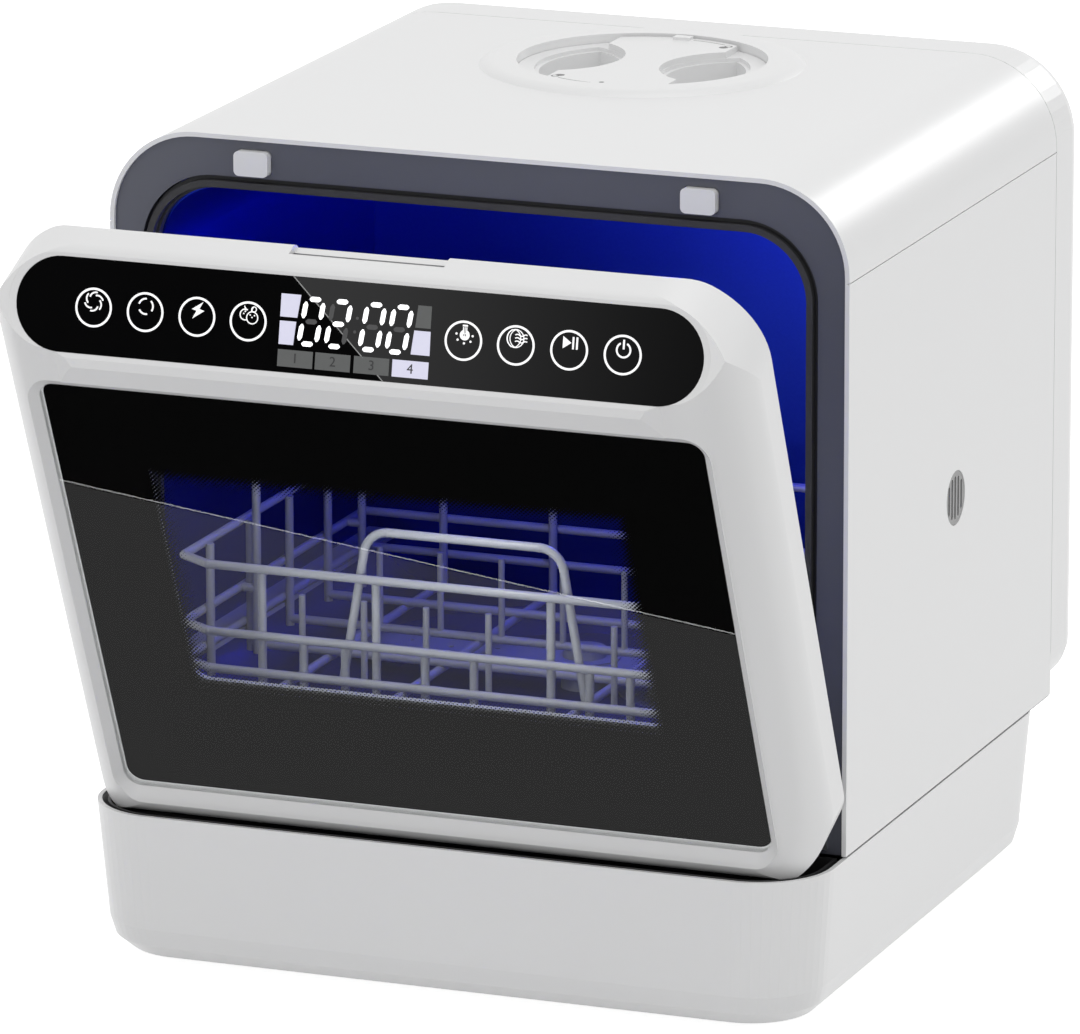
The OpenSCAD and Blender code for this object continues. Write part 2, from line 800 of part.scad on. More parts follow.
module spray_arm() {
  arm_z = tub_floor + 8 + seat;
  tip = spray_r - 14;
  color(inner_grey) translate([0, arm_y, arm_z]) difference() {
    union() {
      cylinder(h = 9, r = 20);
      linear_extrude(8) for (x = [-1, 1]) {
        translate([x * tip, 0]) circle(13);
        polygon([[0, -17], [x * tip, -13], [x * tip, 13], [0, 17]]);
      }
      cylinder(h = 14, r = 12);
    }
    translate([0, 0, -1]) cylinder(h = 12.5, r = 7 + running);
    for (x = [-5 : 5]) if (abs(x) > 1)
      translate([x * tip / 5, x % 2 * 5, 4]) cylinder(h = 6, r = 1.6);
  }
}

module wash_pump() {
  motor_r = 22;
  color(black) translate([half_w - 74, arm_y + 20, floor_top]) {
    translate([0, 0, motor_r + 4]) rotate([90, 0, 0]) cylinder(h = 62, r = motor_r, center = true);
    translate([0, 31, motor_r + 4]) rotate([-90, 0, 0]) cylinder(h = 20, r = motor_r + 4);
    translate([-motor_r, -26, 0]) cube([2 * motor_r, 52, 10]);
  }
}

module drain_pump() {
  motor_r = 17;
  color(black) translate([sump_x, seam_y - 73, floor_top]) {
    translate([0, 0, motor_r + 4]) rotate([90, 0, 0]) cylinder(h = 36, r = motor_r, center = true);
    translate([0, 18, motor_r + 4]) rotate([-90, 0, 0]) cylinder(h = 14, r = motor_r + 4);
    translate([-motor_r, -16, 0]) cube([2 * motor_r, 32, 10]);
  }
}

module heater() {
  tank_r = 18;
  color(steel) translate([half_w - 90, arm_y - 80, floor_top]) {
    translate([0, 0, tank_r + 4]) rotate([90, 0, 0]) cylinder(h = 64, r = tank_r, center = true);
    for (x = [-1, 1]) translate([x * 8, -28, tank_r + 4]) rotate([90, 0, 0]) cylinder(h = 14, r = 3);
    translate([-14, -24, 0]) cube([28, 48, 10]);
  }
}

module tub_lamp() {
  color([0.45, 0.6, 1]) for (x = [-1, 1])
    translate([x * lamp_x, 0, tub_z1 - 2]) {
      cylinder(h = 9, r = 4.8);
      cylinder(h = 2, r = 8);
    }
}

// Ledges on the tub's walls that carry the basket's lowest side rails
module basket_runners() {
  outer = tub_w / 2;
  inner = basket_half - wire_d * 0.3;
  y0 = tub_y0 + 12;
  y1 = tub_y1 - 12;
  color(inner_grey) for (side = [0, 1]) mirror([side, 0, 0]) difference() {
    intersection() {
      box([inner, y0, runner_z - 12], [outer, y1, runner_z - seat]);
      along_y(y0 - 1, y1 + 1)
        outline(tub_w - seat, tub_z0 + seat, tub_z1, tub_r, tub_r - seat);
    }
    box([inner - 1, y0 - 1, runner_z - 13], [outer - 4, y1 + 1, runner_z - 3]);
  }
}

// ---- Door hinge and latches ----

module hinge_brackets() {
  color(steel) for (x = [-1, 1]) difference() {
    union() {
      along_x(x * pin_x - bracket_t / 2, x * pin_x + bracket_t / 2) {
        translate([hinge_y, hinge_z]) circle(9);
        translate([hinge_y, hinge_z - 9]) square([frame_y - hinge_y, 18]);
      }
      box([x * pin_x - 10, frame_y - 2.5, hinge_z - 22], [x * pin_x + 10, frame_y, hinge_z + 6]);
    }
    translate([x * pin_x, hinge_y, hinge_z]) rotate([0, 90, 0])
      cylinder(h = 20, r = pin_r, center = true);
  }
}

module hinge_pins() {
  color(steel) for (x = [-1, 1])
    translate([x * (pin_x + arm_x) / 2, hinge_y, hinge_z]) rotate([0, 90, 0])
      cylinder(h = pin_x - arm_x + 10, r = pin_r, center = true);
}

module latch_block(side) {
  color(white) translate([side * latch_x, 0, latch_z]) {
    along_y(frame_y - latch_out, frame_y + frame_t + 8) rounded(latch_w, latch_h, 3);
    along_y(frame_y + frame_t + 8, frame_y + frame_t + 14) circle(3);
  }
}

module latch_block_left() { latch_block(-1); }

module latch_block_right() { latch_block(1); }

module latch_housings() {
  back = frame_y + frame_t + 26;
  low = mouth_z1 + 1.2 - latch_z;
  color(inner_grey) for (x = [-1, 1]) translate([x * latch_x, 0, latch_z])
    difference() {
      along_y(frame_y + frame_t, back)
        translate([-latch_w / 2 - 2.5, low]) square([latch_w + 5, latch_h / 2 + 1.8 - low]);
      along_y(frame_y + frame_t - 1, back - 2)
        rounded(latch_w + 2 * seat, latch_h + 2 * seat, 3 + seat);
      along_y(frame_y + frame_t - 1, back - 2)
        translate([-latch_w / 2 + 2, low - 1]) square([latch_w - 4, 4]);
    }
}

module latch_spring(side) {
  turns = 5;
  length = 16 - 2 * seat;
  color(steel) translate([side * latch_x, frame_y + frame_t + 8 + seat, latch_z])
    for (i = [0 : turns - 1])
      translate([0, 0.5 + i * (length - 1) / (turns - 1), 0]) rotate([90, 0, 0])
        rotate_extrude() translate([4.4, 0]) circle(0.5, $fn = 16);
}

module latch_spring_left() { latch_spring(-1); }

module latch_spring_right() { latch_spring(1); }

// ---- Drying fan, board and ports ----

module fan_housing() {
  x0 = tub_w / 2 + tub_wall;
  x1 = half_w - wall - 2;
  color(black) translate([0, vent_y, vent_z]) {
    difference() {
      along_x(x0, x1) {
        circle(vent_r + 6);
        translate([-vent_r - 6, -vent_r - 6]) square([2 * vent_r + 12, 8]);
      }
      along_x(x0 + 2, x1 + 1) circle(vent_r + 3.5);
      along_x(x0 - 1, x0 + 3) difference() {
        circle(vent_r);
        circle(5);
        square([2 * vent_r + 2, 3], center = true);
      }
    }
    along_x(x0 + 1, x0 + 10) circle(fan_pin_r);
  }
}

module fan_rotor() {
  x0 = tub_w / 2 + tub_wall + 2 + seat;
  hub_h = 8.5;
  color(inner_grey) translate([x0, vent_y, vent_z]) rotate([0, 90, 0]) difference() {
    union() {
      cylinder(h = hub_h, r = 5);
      for (i = [0 : blades - 1]) rotate(i * 360 / blades)
        translate([vent_r / 2 + 2.5, 0, hub_h / 2]) rotate([32, 0, 0])
          cube([vent_r - 2, 1.2, 7], center = true);
    }
    translate([0, 0, -1]) cylinder(h = hub_h + 2, r = fan_pin_r + running);
  }
}

module power_board() {
  board_w = 120;
  board_h = 90;
  board_t = 2;
  post_h = 14;
  post_in = 8;
  back_y = tub_y1 + tub_wall + post_h;
  parts_y = back_y + board_t;
  translate([half_w - board_w - 50, 0, base_h + 90]) {
    color(board_green) box([0, back_y, 0], [board_w, parts_y, board_h]);
    color(black) {
      box([12, parts_y, 12], [42, parts_y + 16, 36]);
      box([56, parts_y, 20], [72, parts_y + 12, 60]);
    }
    color(steel) for (x = [post_in, board_w - post_in], z = [post_in, board_h - post_in])
      translate([x, tub_y1 + tub_wall, z]) rotate([-90, 0, 0]) cylinder(h = post_h, r = 3);
  }
}

module water_inlet() {
  p = port_places[1];
  color(white) translate([p[0], port_y, p[1]]) rotate([-90, 0, 0]) difference() {
    union() {
      translate([0, 0, -4]) cylinder(h = 4, r = p[2] + 5);
      translate([0, 0, -12]) cylinder(h = 22, r = p[2] - 0.4);
      translate([0, 0, 6]) cylinder(h = 16, r = p[2]);
    }
    translate([0, 0, -15]) cylinder(h = 40, r = 8);
  }
}

module drain_spigot() {
  p = port_places[0];
  color(inner_grey) translate([p[0], port_y, p[1]]) rotate([-90, 0, 0]) difference() {
    union() {
      translate([0, 0, -4]) cylinder(h = 4, r = p[2] + 5);
      translate([0, 0, -12]) cylinder(h = 20, r = p[2] - 0.4);
      translate([0, 0, wall]) cylinder(h = 27.5, r = p[2]);
    }
    translate([0, 0, -15]) cylinder(h = 50, r = p[2] - 2);
  }
}

module cord_gland() {
  p = port_places[2];
  color(black) translate([p[0], port_y, p[1]]) rotate([-90, 0, 0]) difference() {
    union() {
      translate([0, 0, -4]) cylinder(h = 4, r = p[2] + 3);
      translate([0, 0, -5]) cylinder(h = 12, r = p[2]);
      translate([0, 0, wall]) cylinder(h = 4, r = p[2] + 3);
    }
    translate([0, 0, -15]) cylinder(h = 30, r = 3.6);
  }
}

// ---- Door ----

// The shut door's side profile, in Y and Z, drawn in by an inset
module door_profile(i) {
  top_z = body_h - i;
  round_z = top_z - top_round;
  round_y = top_round_y(i);
  low_r = 10;
  back_r = 6;
  difference() {
    union() {
      polygon([
        [face_y + i + low_r, door_bottom + i],
        [hinge_y, door_bottom + i],
        [hinge_y + heel_r - i, hinge_z],
        [door_back - i, hinge_z],
        [door_back - i, top_z - back_r],
        [door_back - i - back_r, top_z],
        [round_y, top_z],
        [round_y - top_round * cos(panel_tilt), round_z + top_round * sin(panel_tilt)],
        [slope_y(ridge_z + 3) + i, ridge_z + 3 - i / 2],
        [slope_y(ridge_z + 3) - 1.2 + i, ridge_z - 3 - i / 2],
        [face_y + i, flare_z],
        [face_y + i, door_bottom + i + low_r]]);
      translate([face_y + i + low_r, door_bottom + i + low_r]) circle(low_r);
      translate([round_y, round_z]) circle(top_round);
      translate([door_back - i - back_r, top_z - back_r]) circle(back_r);
      translate([hinge_y, hinge_z]) circle(heel_r - i);
    }
  }
}

// The shut door's solid form, drawn in by an inset
module door_form(i) {
  wide = body_w - 2 * i;
  intersection() {
    along_x(-half_w, half_w) door_profile(i);
    along_y(face_y - 10, door_back + 1)
      outline(wide, door_bottom + i, body_h - i, corner_r - i, door_bottom_r - i);
    union() {
      linear_extrude(body_h + 1) plan_outline(wide, face_y + i, door_edge_r - i);
      linear_extrude(body_h + 1) plan_outline(wide - 16, face_y + i - 6, 60);
    }
  }
}

module plan_outline(w, front, r) {
  translate([-w / 2, front + r]) square([w, door_back - front - r + 1]);
  translate([-w / 2 + r, front]) square([w - 2 * r, r + 1]);
  for (x = [-1, 1]) translate([x * (w / 2 - r), front + r]) circle(r);
}

module panel_outline(grow) {
  r = panel_h / 2 + grow;
  square([panel_l - panel_h, 2 * r], center = true);
  for (x = [-1, 1]) translate([x * (panel_l - panel_h) / 2, 0]) circle(r);
}

module glass_opening(y0, y1, grow) {
  translate([0, 0, glass_z]) along_y(y0, y1)
    rounded(glass_w + 2 * grow, glass_h + 2 * grow, glass_r + grow);
}

// The bevel round the control panel, from the lens out to the door's face
module panel_bevel() {
  half = (panel_l - panel_h) / 2;
  low_r = panel_h / 2 + 0.2;
  high_r = low_r + 3.8;
  for (x = [-1, 1]) translate([x * half, 0, 0]) cylinder(h = panel_rise, r1 = low_r, r2 = high_r);
  rotate([90, 0, 90]) translate([0, 0, -half]) linear_extrude(2 * half) polygon([
    [-low_r, 0], [low_r, 0], [high_r, panel_rise], [-high_r, panel_rise]]);
  translate([0, 0, panel_rise]) linear_extrude(10) panel_outline(4);
}

// The sockets in the shut door's back that the latch blocks enter
module latch_sockets() {
  for (x = [-1, 1])
    translate([x * latch_x, 0, latch_z]) along_y(door_back - 10, door_back + 1)
      rounded(latch_w + 3, latch_h + 3, 4);
}

// The room for a hinge bracket, as the door swings round it
module bracket_slot() {
  for (x = [-1, 1])
    box([x * pin_x - slot_w / 2, hinge_y - 12, 0],
        [x * pin_x + slot_w / 2, door_back + 2, hinge_z + 20]);
}

module door_frame() {
  ledge = 9;
  back_y = door_back - liner_t;
  color(white) on_door() difference() {
    union() {
      difference() {
        door_form(0);
        intersection() {
          door_form(door_wall);
          box([-half_w, glass_y - 2, 0], [half_w, back_y - 2.5, body_h]);
        }
        liner_edge(back_y, door_back + 1, seat);
        liner_edge(back_y - 5, door_back + 1, -5);
      }
      difference() {
        glass_opening(face_y + 1, glass_y + glass_t + ledge_t, 5);
        glass_opening(face_y, glass_y + glass_t + ledge_t + 1, -ledge);
      }
      intersection() {
        door_form(1);
        on_panel() translate([0, 0, -7]) linear_extrude(7) panel_outline(3);
      }
    }
    glass_opening(face_y - 10, glass_y + glass_t, seat);
    glass_opening(face_y - 10, glass_y + glass_t + ledge_t + 1, -ledge);
    hull() {
      glass_opening(glass_y - 1, glass_y, seat);
      glass_opening(face_y - 0.1, face_y, lip_w);
    }
    on_panel() translate([0, 0, -panel_t]) linear_extrude(20) panel_outline(0.2);
    on_panel() panel_bevel();
    on_panel() translate([0, 0, -20]) linear_extrude(30)
      rounded(panel_l - 60, panel_h - 16, 4);
    box([-notch_w / 2, slope_y(body_h) + 12, body_h - 4.5], [notch_w / 2, door_back + 1, body_h + 1]);
    latch_sockets();
    bracket_slot();
    door_screw_forms(running);
  }
}

// The outline of the liner's flange, grown by a gap
module liner_edge(y0, y1, grow) {
  rim = door_wall + 6 - grow;
  along_y(y0, y1)
    outline(body_w - 2 * rim, hinge_z + 4 - grow, body_h - rim, corner_r - rim, 6);
}

module door_liner() {
  color(inner_grey) on_door() difference() {
    union() {
      liner_edge(door_back - liner_t, door_back, 0);
      along_y(liner_y - liner_t, door_back)
        outline(liner_w, liner_z0, liner_z1, mouth_r - 4, mouth_r - 4);
    }
    along_y(liner_y, door_back + 1)
      outline(liner_w - 2 * liner_t, liner_z0 + liner_t, liner_z1 - liner_t,
        mouth_r - 4 - liner_t, mouth_r - 4 - liner_t);
    translate([0, 0, view_z]) along_y(liner_y - 10, liner_y + 5)
      rounded(inner_glass_w - 16, inner_glass_h - 16, 10);
    latch_sockets();
    bracket_slot();
    door_screw_forms(running);
  }
}

module outer_glass() {
  color(black) on_door() glass_opening(glass_y, glass_y + glass_t, 0);
}

module inner_glass() {
  color(clear) on_door() translate([0, 0, view_z])
    along_y(liner_y - liner_t - 1.5 - inner_glass_t, liner_y - liner_t - 1.5)
      rounded(inner_glass_w, inner_glass_h, 8);
}

module inner_glass_seal() {
  color(rubber) on_door() translate([0, 0, view_z]) difference() {
    along_y(liner_y - liner_t - 3 - inner_glass_t, liner_y - liner_t)
      rounded(inner_glass_w + 6, inner_glass_h + 6, 11);
    along_y(liner_y - liner_t - 1.5 - inner_glass_t, liner_y - liner_t - 1.5)
      rounded(inner_glass_w, inner_glass_h, 8);
    along_y(liner_y - liner_t - 20, liner_y + 1)
      rounded(inner_glass_w - 14, inner_glass_h - 14, 6);
  }
}

module control_panel() {
  color(black) on_door() on_panel() translate([0, 0, -panel_t]) linear_extrude(panel_t)
    panel_outline(0);
}

module display_board() {
  board_l = 2 * (key_start + (keys - 1) * key_pitch) + 18;
  color(board_green) on_door() on_panel() {
    translate([0, 0, -6.5]) linear_extrude(1.6) rounded(board_l, panel_h - 18, 2);
    translate([0, 0, -4.9]) linear_extrude(1.6) square([84, 30], center = true);
    for (x = [-1, 1], i = [0 : keys - 1])
      translate([x * (key_start + i * key_pitch), 0, -4.9]) cylinder(h = 4.9 - panel_t, r = 9);
  }
}

// Arms in the hollow of the door, held to the back of its glass ledge
module hinge_arms() {
  foot_y = glass_y + glass_t + ledge_t;
  color(steel) on_door() for (x = [-1, 1]) difference() {
    along_x(x * arm_x - arm_t / 2, x * arm_x + arm_t / 2) {
      translate([hinge_y, hinge_z]) circle(10);
      polygon([[foot_y, hinge_z + 10], [hinge_y - 9, hinge_z - 4], [hinge_y + 4, hinge_z + 9],
        [foot_y + 13, hinge_z + 26], [foot_y + 13, hinge_z + 66], [foot_y, hinge_z + 66]]);
    }
    translate([x * arm_x, hinge_y, hinge_z]) rotate([0, 90, 0])
      cylinder(h = 20, r = pin_r + running, center = true);
  }
}

// The countersunk screws in the shut door's back, grown by a gap
module door_screw_forms(grow) {
  for (x = [-1, 1], z = [hinge_z + 12, view_z, body_h - 70])
    translate([x * (half_w - 11.5), door_back, z]) rotate([90, 0, 0]) {
      cylinder(h = 1.4, r1 = 3.2 + grow, r2 = 1.8 + grow);
      cylinder(h = 7 + grow, r = 1.8 + grow);
    }
}

module door_screws() {
  color(steel) on_door() door_screw_forms(0);
}

// ---- Basket ----

function rail_height(i) = foot_z - wire_d / 2 + rail_z[i];

module basket_front() {
  y = basket_y0;
  cut = corner_cut;
  color(wire_grey) union() {
    for (i = [0 : 2]) bent_wire([
      [-basket_half, y + cut[1], rail_height(i)], [-basket_half + cut[0], y, rail_height(i)],
      [basket_half - cut[0], y, rail_height(i)], [basket_half, y + cut[1], rail_height(i)]],
      wire_d, 0, 0.2);
    for (x = long_x) wire([x, y + wire_d * 0.8, foot_z], [x, y + wire_d * 0.8, rail_height(0)]);
    for (x = short_x)
      wire([x, y + wire_d * 0.8, rail_height(2) - 6], [x, y + wire_d * 0.8, rail_height(1)]);
  }
}

module basket_back() {
  y = basket_y1;
  color(wire_grey) union() {
    for (i = [0 : 2]) wire([-basket_half, y, rail_height(i)], [basket_half, y, rail_height(i)]);
    for (x = long_x) wire([x, y - wire_d * 0.8, foot_z], [x, y - wire_d * 0.8, rail_height(0)]);
  }
}

module basket_side(side) {
  x = side * basket_half;
  color(wire_grey) union() {
    for (i = [0 : 2])
      wire([x, basket_y0 + corner_cut[1], rail_height(i)], [x, basket_y1, rail_height(i)]);
    for (y = side_y)
      wire([x - side * wire_d * 0.8, basket_y0 + y, foot_z],
        [x - side * wire_d * 0.8, basket_y0 + y, rail_height(0)]);
  }
}

module basket_side_left() {
  basket_side(-1);
  color(wire_grey) for (y = post_y) union() {
    wire([-post_x, basket_y0 + y, foot_z], [-post_x, basket_y0 + y, shelf_z + 14]);
    wire([-post_x, basket_y0 + y, rail_height(1)], [-basket_half, basket_y0 + y, rail_height(1)]);
  }
}

module basket_side_right() { basket_side(1); }

module basket_floor() {
  inside = basket_half - wire_d * 0.8;
  color(wire_grey) union() {
    for (x = long_x)
      wire([x, basket_y0 + wire_d * 0.8, foot_z], [x, basket_y1 - wire_d * 0.8, foot_z]);
    for (y = side_y)
      wire([-inside, basket_y0 + y, foot_z + wire_d * 0.8], [inside, basket_y0 + y, foot_z + wire_d * 0.8]);
  }
}

module basket_handle() {
  y = basket_y0 + wire_d;
  top_z = basket_z + handle_z - wire_d / 2;
  low_z = rail_height(2) - 3;
  color(wire_grey) bent_wire([
    [-handle_x[0], y, low_z], [-handle_x[1], y, top_z],
    [handle_x[1], y, top_z], [handle_x[0], y, low_z]], wire_d, 14);
}

module plate_tines() {
  tine_h = 46;
  pitch = 36;
  color(wire_grey) for (y = [side_y[0], side_y[2]], i = [-3 : 3])
    translate([i * pitch, basket_y0 + y, foot_z + wire_d * 0.8])
      cylinder(h = tine_h, d = 3.6, $fn = 24);
}

// Plastic clips on the posts, in which the cup shelf turns
module shelf_clips() {
  color(inner_grey) for (y = post_y) translate([-post_x, basket_y0 + y, shelf_z]) difference() {
    box([-5, -clip_l / 2, -5], [post_x - shelf_x + 5, clip_l / 2, 5]);
    cylinder(h = 20, d = wire_d, center = true, $fn = 24);
    translate([post_x - shelf_x, 0, 0]) rotate([90, 0, 0])
      cylinder(h = 20, r = shelf_fold_r + running, center = true);
  }
}

module cup_shelf() {
  x0 = -shelf_x;
  x1 = -shelf_x + shelf_w;
  y0 = basket_y0 + post_y[0] + clip_l;
  y1 = basket_y0 + post_y[1] - clip_l;
  color(wire_grey) union() {
    bent_wire([[x0, y0, shelf_z], [x1, y0, shelf_z], [x1, y1, shelf_z], [x0, y1, shelf_z]],
      2 * shelf_fold_r, 8, 0);
    translate([x0, y0 - clip_l - 7, shelf_z]) rotate([-90, 0, 0])
      cylinder(h = y1 - y0 + 2 * clip_l + 14, r = shelf_fold_r);
    for (i = [1 : 4])
      wire([x0, y0 + i * (y1 - y0) / 5, shelf_z], [x1, y0 + i * (y1 - y0) / 5, shelf_z], 3);
  }
}

// ---- Assembly ----

base_housing();
base_plate();
feet();
chassis_plate();
door_well();
tub();
front_frame();
door_gasket();
top_cover();
side_panel_left();
side_panel_right();
rear_cover();
side_vent_grille();
inlet_collar();
fill_funnel();
water_tank();
sump();
filter_plate();
spray_post();
wash_pump();
drain_pump();
heater();
tub_lamp();
basket_runners();
hinge_brackets();
hinge_pins();
latch_housings();
latch_spring_left();
latch_spring_right();
fan_housing();
power_board();
water_inlet();
drain_spigot();
cord_gland();
cover_screws();
fan_rotor();
inlet_cap();
cap_seal();
filter_cup();
spray_arm();
latch_block_left();
latch_block_right();
door_frame();
door_liner();
outer_glass();
inner_glass();
inner_glass_seal();
control_panel();
display_board();
hinge_arms();
door_screws();
basket_front();
basket_back();
basket_side_left();
basket_side_right();
basket_floor();
basket_handle();
plate_tines();
shelf_clips();
cup_shelf();
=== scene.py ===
import json
import math
import bpy
from mathutils import Matrix, Vector


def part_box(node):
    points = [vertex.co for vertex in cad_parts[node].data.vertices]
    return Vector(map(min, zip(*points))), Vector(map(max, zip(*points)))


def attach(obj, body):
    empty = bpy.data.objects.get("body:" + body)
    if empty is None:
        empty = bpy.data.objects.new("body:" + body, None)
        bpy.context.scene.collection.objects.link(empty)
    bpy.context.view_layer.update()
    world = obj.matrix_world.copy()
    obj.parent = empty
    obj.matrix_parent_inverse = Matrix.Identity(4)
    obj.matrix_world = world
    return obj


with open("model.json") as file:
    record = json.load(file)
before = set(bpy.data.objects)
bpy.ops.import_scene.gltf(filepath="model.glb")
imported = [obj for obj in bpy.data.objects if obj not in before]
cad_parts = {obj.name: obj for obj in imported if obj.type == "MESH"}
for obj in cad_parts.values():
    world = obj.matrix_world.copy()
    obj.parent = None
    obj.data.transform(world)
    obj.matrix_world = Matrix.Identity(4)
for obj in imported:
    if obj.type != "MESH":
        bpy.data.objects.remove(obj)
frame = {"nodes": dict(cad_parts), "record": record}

scene = bpy.context.scene
scene.view_settings.view_transform = "Standard"
nodes = frame["nodes"]
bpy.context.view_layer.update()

# ---- Camera ----
# A long lens, a little above the machine and to the right of its front. Its
# place was fitted to the machine's corners and seams.
image_w = 1080
focal_px = 9419.7
sensor_mm = 36
camera_turn = math.radians(21.40)
camera_rise = math.radians(14.60)
camera_roll = math.radians(-0.12)
camera_place = Vector((1.7993, -4.6380, 1.5168))

backward = Vector((math.sin(camera_turn) * math.cos(camera_rise),
                   -math.cos(camera_turn) * math.cos(camera_rise),
                   math.sin(camera_rise)))
level_right = (-backward).cross(Vector((0, 0, 1))).normalized()
level_up = backward.cross(level_right)
right = level_right * math.cos(camera_roll) + level_up * math.sin(camera_roll)
up = level_up * math.cos(camera_roll) - level_right * math.sin(camera_roll)
camera = bpy.data.objects.new("camera", bpy.data.cameras.new("camera"))
scene.collection.objects.link(camera)
camera.data.sensor_fit = "HORIZONTAL"
camera.data.sensor_width = sensor_mm
camera.data.lens = sensor_mm * focal_px / image_w
camera.data.clip_end = 50
camera_axes = Matrix((right, up, backward)).transposed().to_4x4()
camera.matrix_world = Matrix.Translation(camera_place) @ camera_axes
scene.camera = camera


# ---- Studio floor and light ----
# A white floor that keeps a faint shadow, white surroundings, and large soft
# lamps above, to the right and in front.
class Signal:
    """A number or colour that travels between shader nodes, usable in expressions."""

    def __init__(self, finish, socket):
        self.finish = finish
        self.socket = socket

    def math(self, operation, *others):
        return self.finish.node("ShaderNodeMath", {"operation": operation}, [self, *others])

    def __add__(self, other):
        return self.math("ADD", other)

    def __sub__(self, other):
        return self.math("SUBTRACT", other)

    def __rsub__(self, other):
        return self.finish.node("ShaderNodeMath", {"operation": "SUBTRACT"}, [other, self])

    def __mul__(self, other):
        return self.math("MULTIPLY", other)

    __radd__ = __add__
    __rmul__ = __mul__

    def __truediv__(self, other):
        return self.math("DIVIDE", other)

    def __lt__(self, other):
        return self.math("LESS_THAN", other)

    def __gt__(self, other):
        return self.math("GREATER_THAN", other)

    def __abs__(self):
        return self.math("ABSOLUTE")

    def rise(self, low, high):
        """0 below low, 1 above high, and a smooth rise between."""
        return self.finish.node("ShaderNodeMapRange", {"interpolation_type": "SMOOTHSTEP"},
                                [self, low, high, 0.0, 1.0])


class Finish:
    """A surface or surroundings under construction, built from shader nodes."""

    sockets = {"colour": "Base Color", "rough": "Roughness", "metal": "Metallic", "normal": "Normal",
               "coat": "Coat Weight", "coat_rough": "Coat Roughness", "alpha": "Alpha", "ior": "IOR",
               "glow": "Emission Color", "glow_strength": "Emission Strength",
               "clear": "Transmission Weight", "specular": "Specular IOR Level"}

    def __init__(self, name, kind=bpy.data.materials):
        self.owner = kind.new(name)
        self.owner.use_nodes = True
        self.tree = self.owner.node_tree
        self.tree.nodes.clear()

    def node(self, kind, settings=None, values=(), output=0):
        """Adds a node with its settings and the values or links of its sockets."""
        made = self.tree.nodes.new(kind)
        for key, value in (settings or {}).items():
            setattr(made, key, value)
        for key, value in values.items() if isinstance(values, dict) else enumerate(values):
            if isinstance(value, Signal):
                self.tree.links.new(value.socket, made.inputs[key])
            else:
                made.inputs[key].default_value = value
        return Signal(self, made.outputs[output]) if made.outputs else None

    def place(self, scale=(1, 1, 1), turn=(0, 0, 0), shift=(0, 0, 0)):
        """The place on the piece, scaled, turned and then shifted."""
        spot = self.node("ShaderNodeTexCoord", output="Object")
        return self.node("ShaderNodeMapping", values={
            "Vector": spot, "Scale": scale, "Rotation": turn, "Location": shift})

    def axes(self, vector):
        return [self.node("ShaderNodeSeparateXYZ", values=[vector], output=i) for i in range(3)]

    def noise(self, scale, detail=2.0, stretch=(1, 1, 1)):
        return self.node("ShaderNodeTexNoise", values={
            "Vector": self.place(stretch), "Scale": scale, "Detail": detail})

    def blend(self, amount, low, high):
        """A colour between low and high."""
        return self.node("ShaderNodeMix", {"data_type": "RGBA"}, {0: amount, 6: low, 7: high}, 2)

    def bump(self, height, depth):
        return self.node("ShaderNodeBump", values={"Height": height, "Distance": depth})

    def seen_ray(self):
        """1 where the camera looks straight, by a reflection or through glass, and 0 for light."""
        camera_ray, glossy_ray, through_ray = (
            self.node("ShaderNodeLightPath", output=f"Is {ray} Ray")
            for ray in ("Camera", "Glossy", "Transmission"))
        return camera_ray.math("MAXIMUM", glossy_ray).math("MAXIMUM", through_ray)

    def surface(self, **values):
        """Ends the finish in one plastic, metal or glass surface."""
        return self.end(self.node("ShaderNodeBsdfPrincipled", values={
            self.sockets[key]: value for key, value in values.items()}))

    def end(self, shader, output="ShaderNodeOutputMaterial"):
        self.node(output, values={"Surface": shader})
        return self.owner


floor_size = 14
floor_glow = 0.82
floor_bounce = 0.12
floor_grey = 0.60
ambient = 0.69
lit_centre = Vector((0, 0, 0.25))
bpy.ops.object.select_all(action="DESELECT")
bpy.ops.mesh.primitive_plane_add(size=floor_size)
floor = bpy.context.object
floor.name = "floor"
paper = Finish("floor paper")
glow = paper.node("ShaderNodeEmission", values={"Color": (1, 1, 1, 1), "Strength": floor_glow})
bounce = paper.node("ShaderNodeEmission", values={"Color": (1, 1, 1, 1), "Strength": floor_bounce})
matt = paper.node("ShaderNodeBsdfDiffuse", values={"Color": (floor_grey, floor_grey, floor_grey, 1)})
lifted = paper.node("ShaderNodeMixShader", values=[paper.seen_ray(), bounce, glow])
floor.data.materials.append(paper.end(paper.node("ShaderNodeAddShader", values=[lifted, matt])))

sky = Finish("studio", bpy.data.worlds)
dim = sky.node("ShaderNodeBackground", values={"Color": (1, 1, 1, 1), "Strength": ambient})
full = sky.node("ShaderNodeBackground", values={"Color": (1, 1, 1, 1), "Strength": 1.0})
scene.world = sky.end(sky.node("ShaderNodeMixShader", values=[sky.seen_ray(), dim, full]),
                      "ShaderNodeOutputWorld")

for name, place, size, watts in (
        ("top lamp", (0.4, -0.2, 2.6), 2.2, 14.5),
        ("right lamp", (3.0, 0.0, 1.4), 2.4, 7),
        ("front lamp", (-0.8, -3.6, 0.8), 2.0, 11)):
    light = bpy.data.lights.new(name, "AREA")
    light.size = size
    light.energy = watts
    lamp = bpy.data.objects.new(name, light)
    scene.collection.objects.link(lamp)
    lamp.location = place
    lamp.rotation_euler = (lit_centre - Vector(place)).to_track_quat("-Z", "Y").to_euler()


# ---- White moulded covers ----
# Base, top, sides, back and door are injection-moulded in white, satin with a
# very fine grain, and clip or screw to each other along narrow seams.
def dress(material, *names):
    """Gives CAD nodes their finish."""
    for name in names:
        nodes[name].data.materials.clear()
        nodes[name].data.materials.append(material)


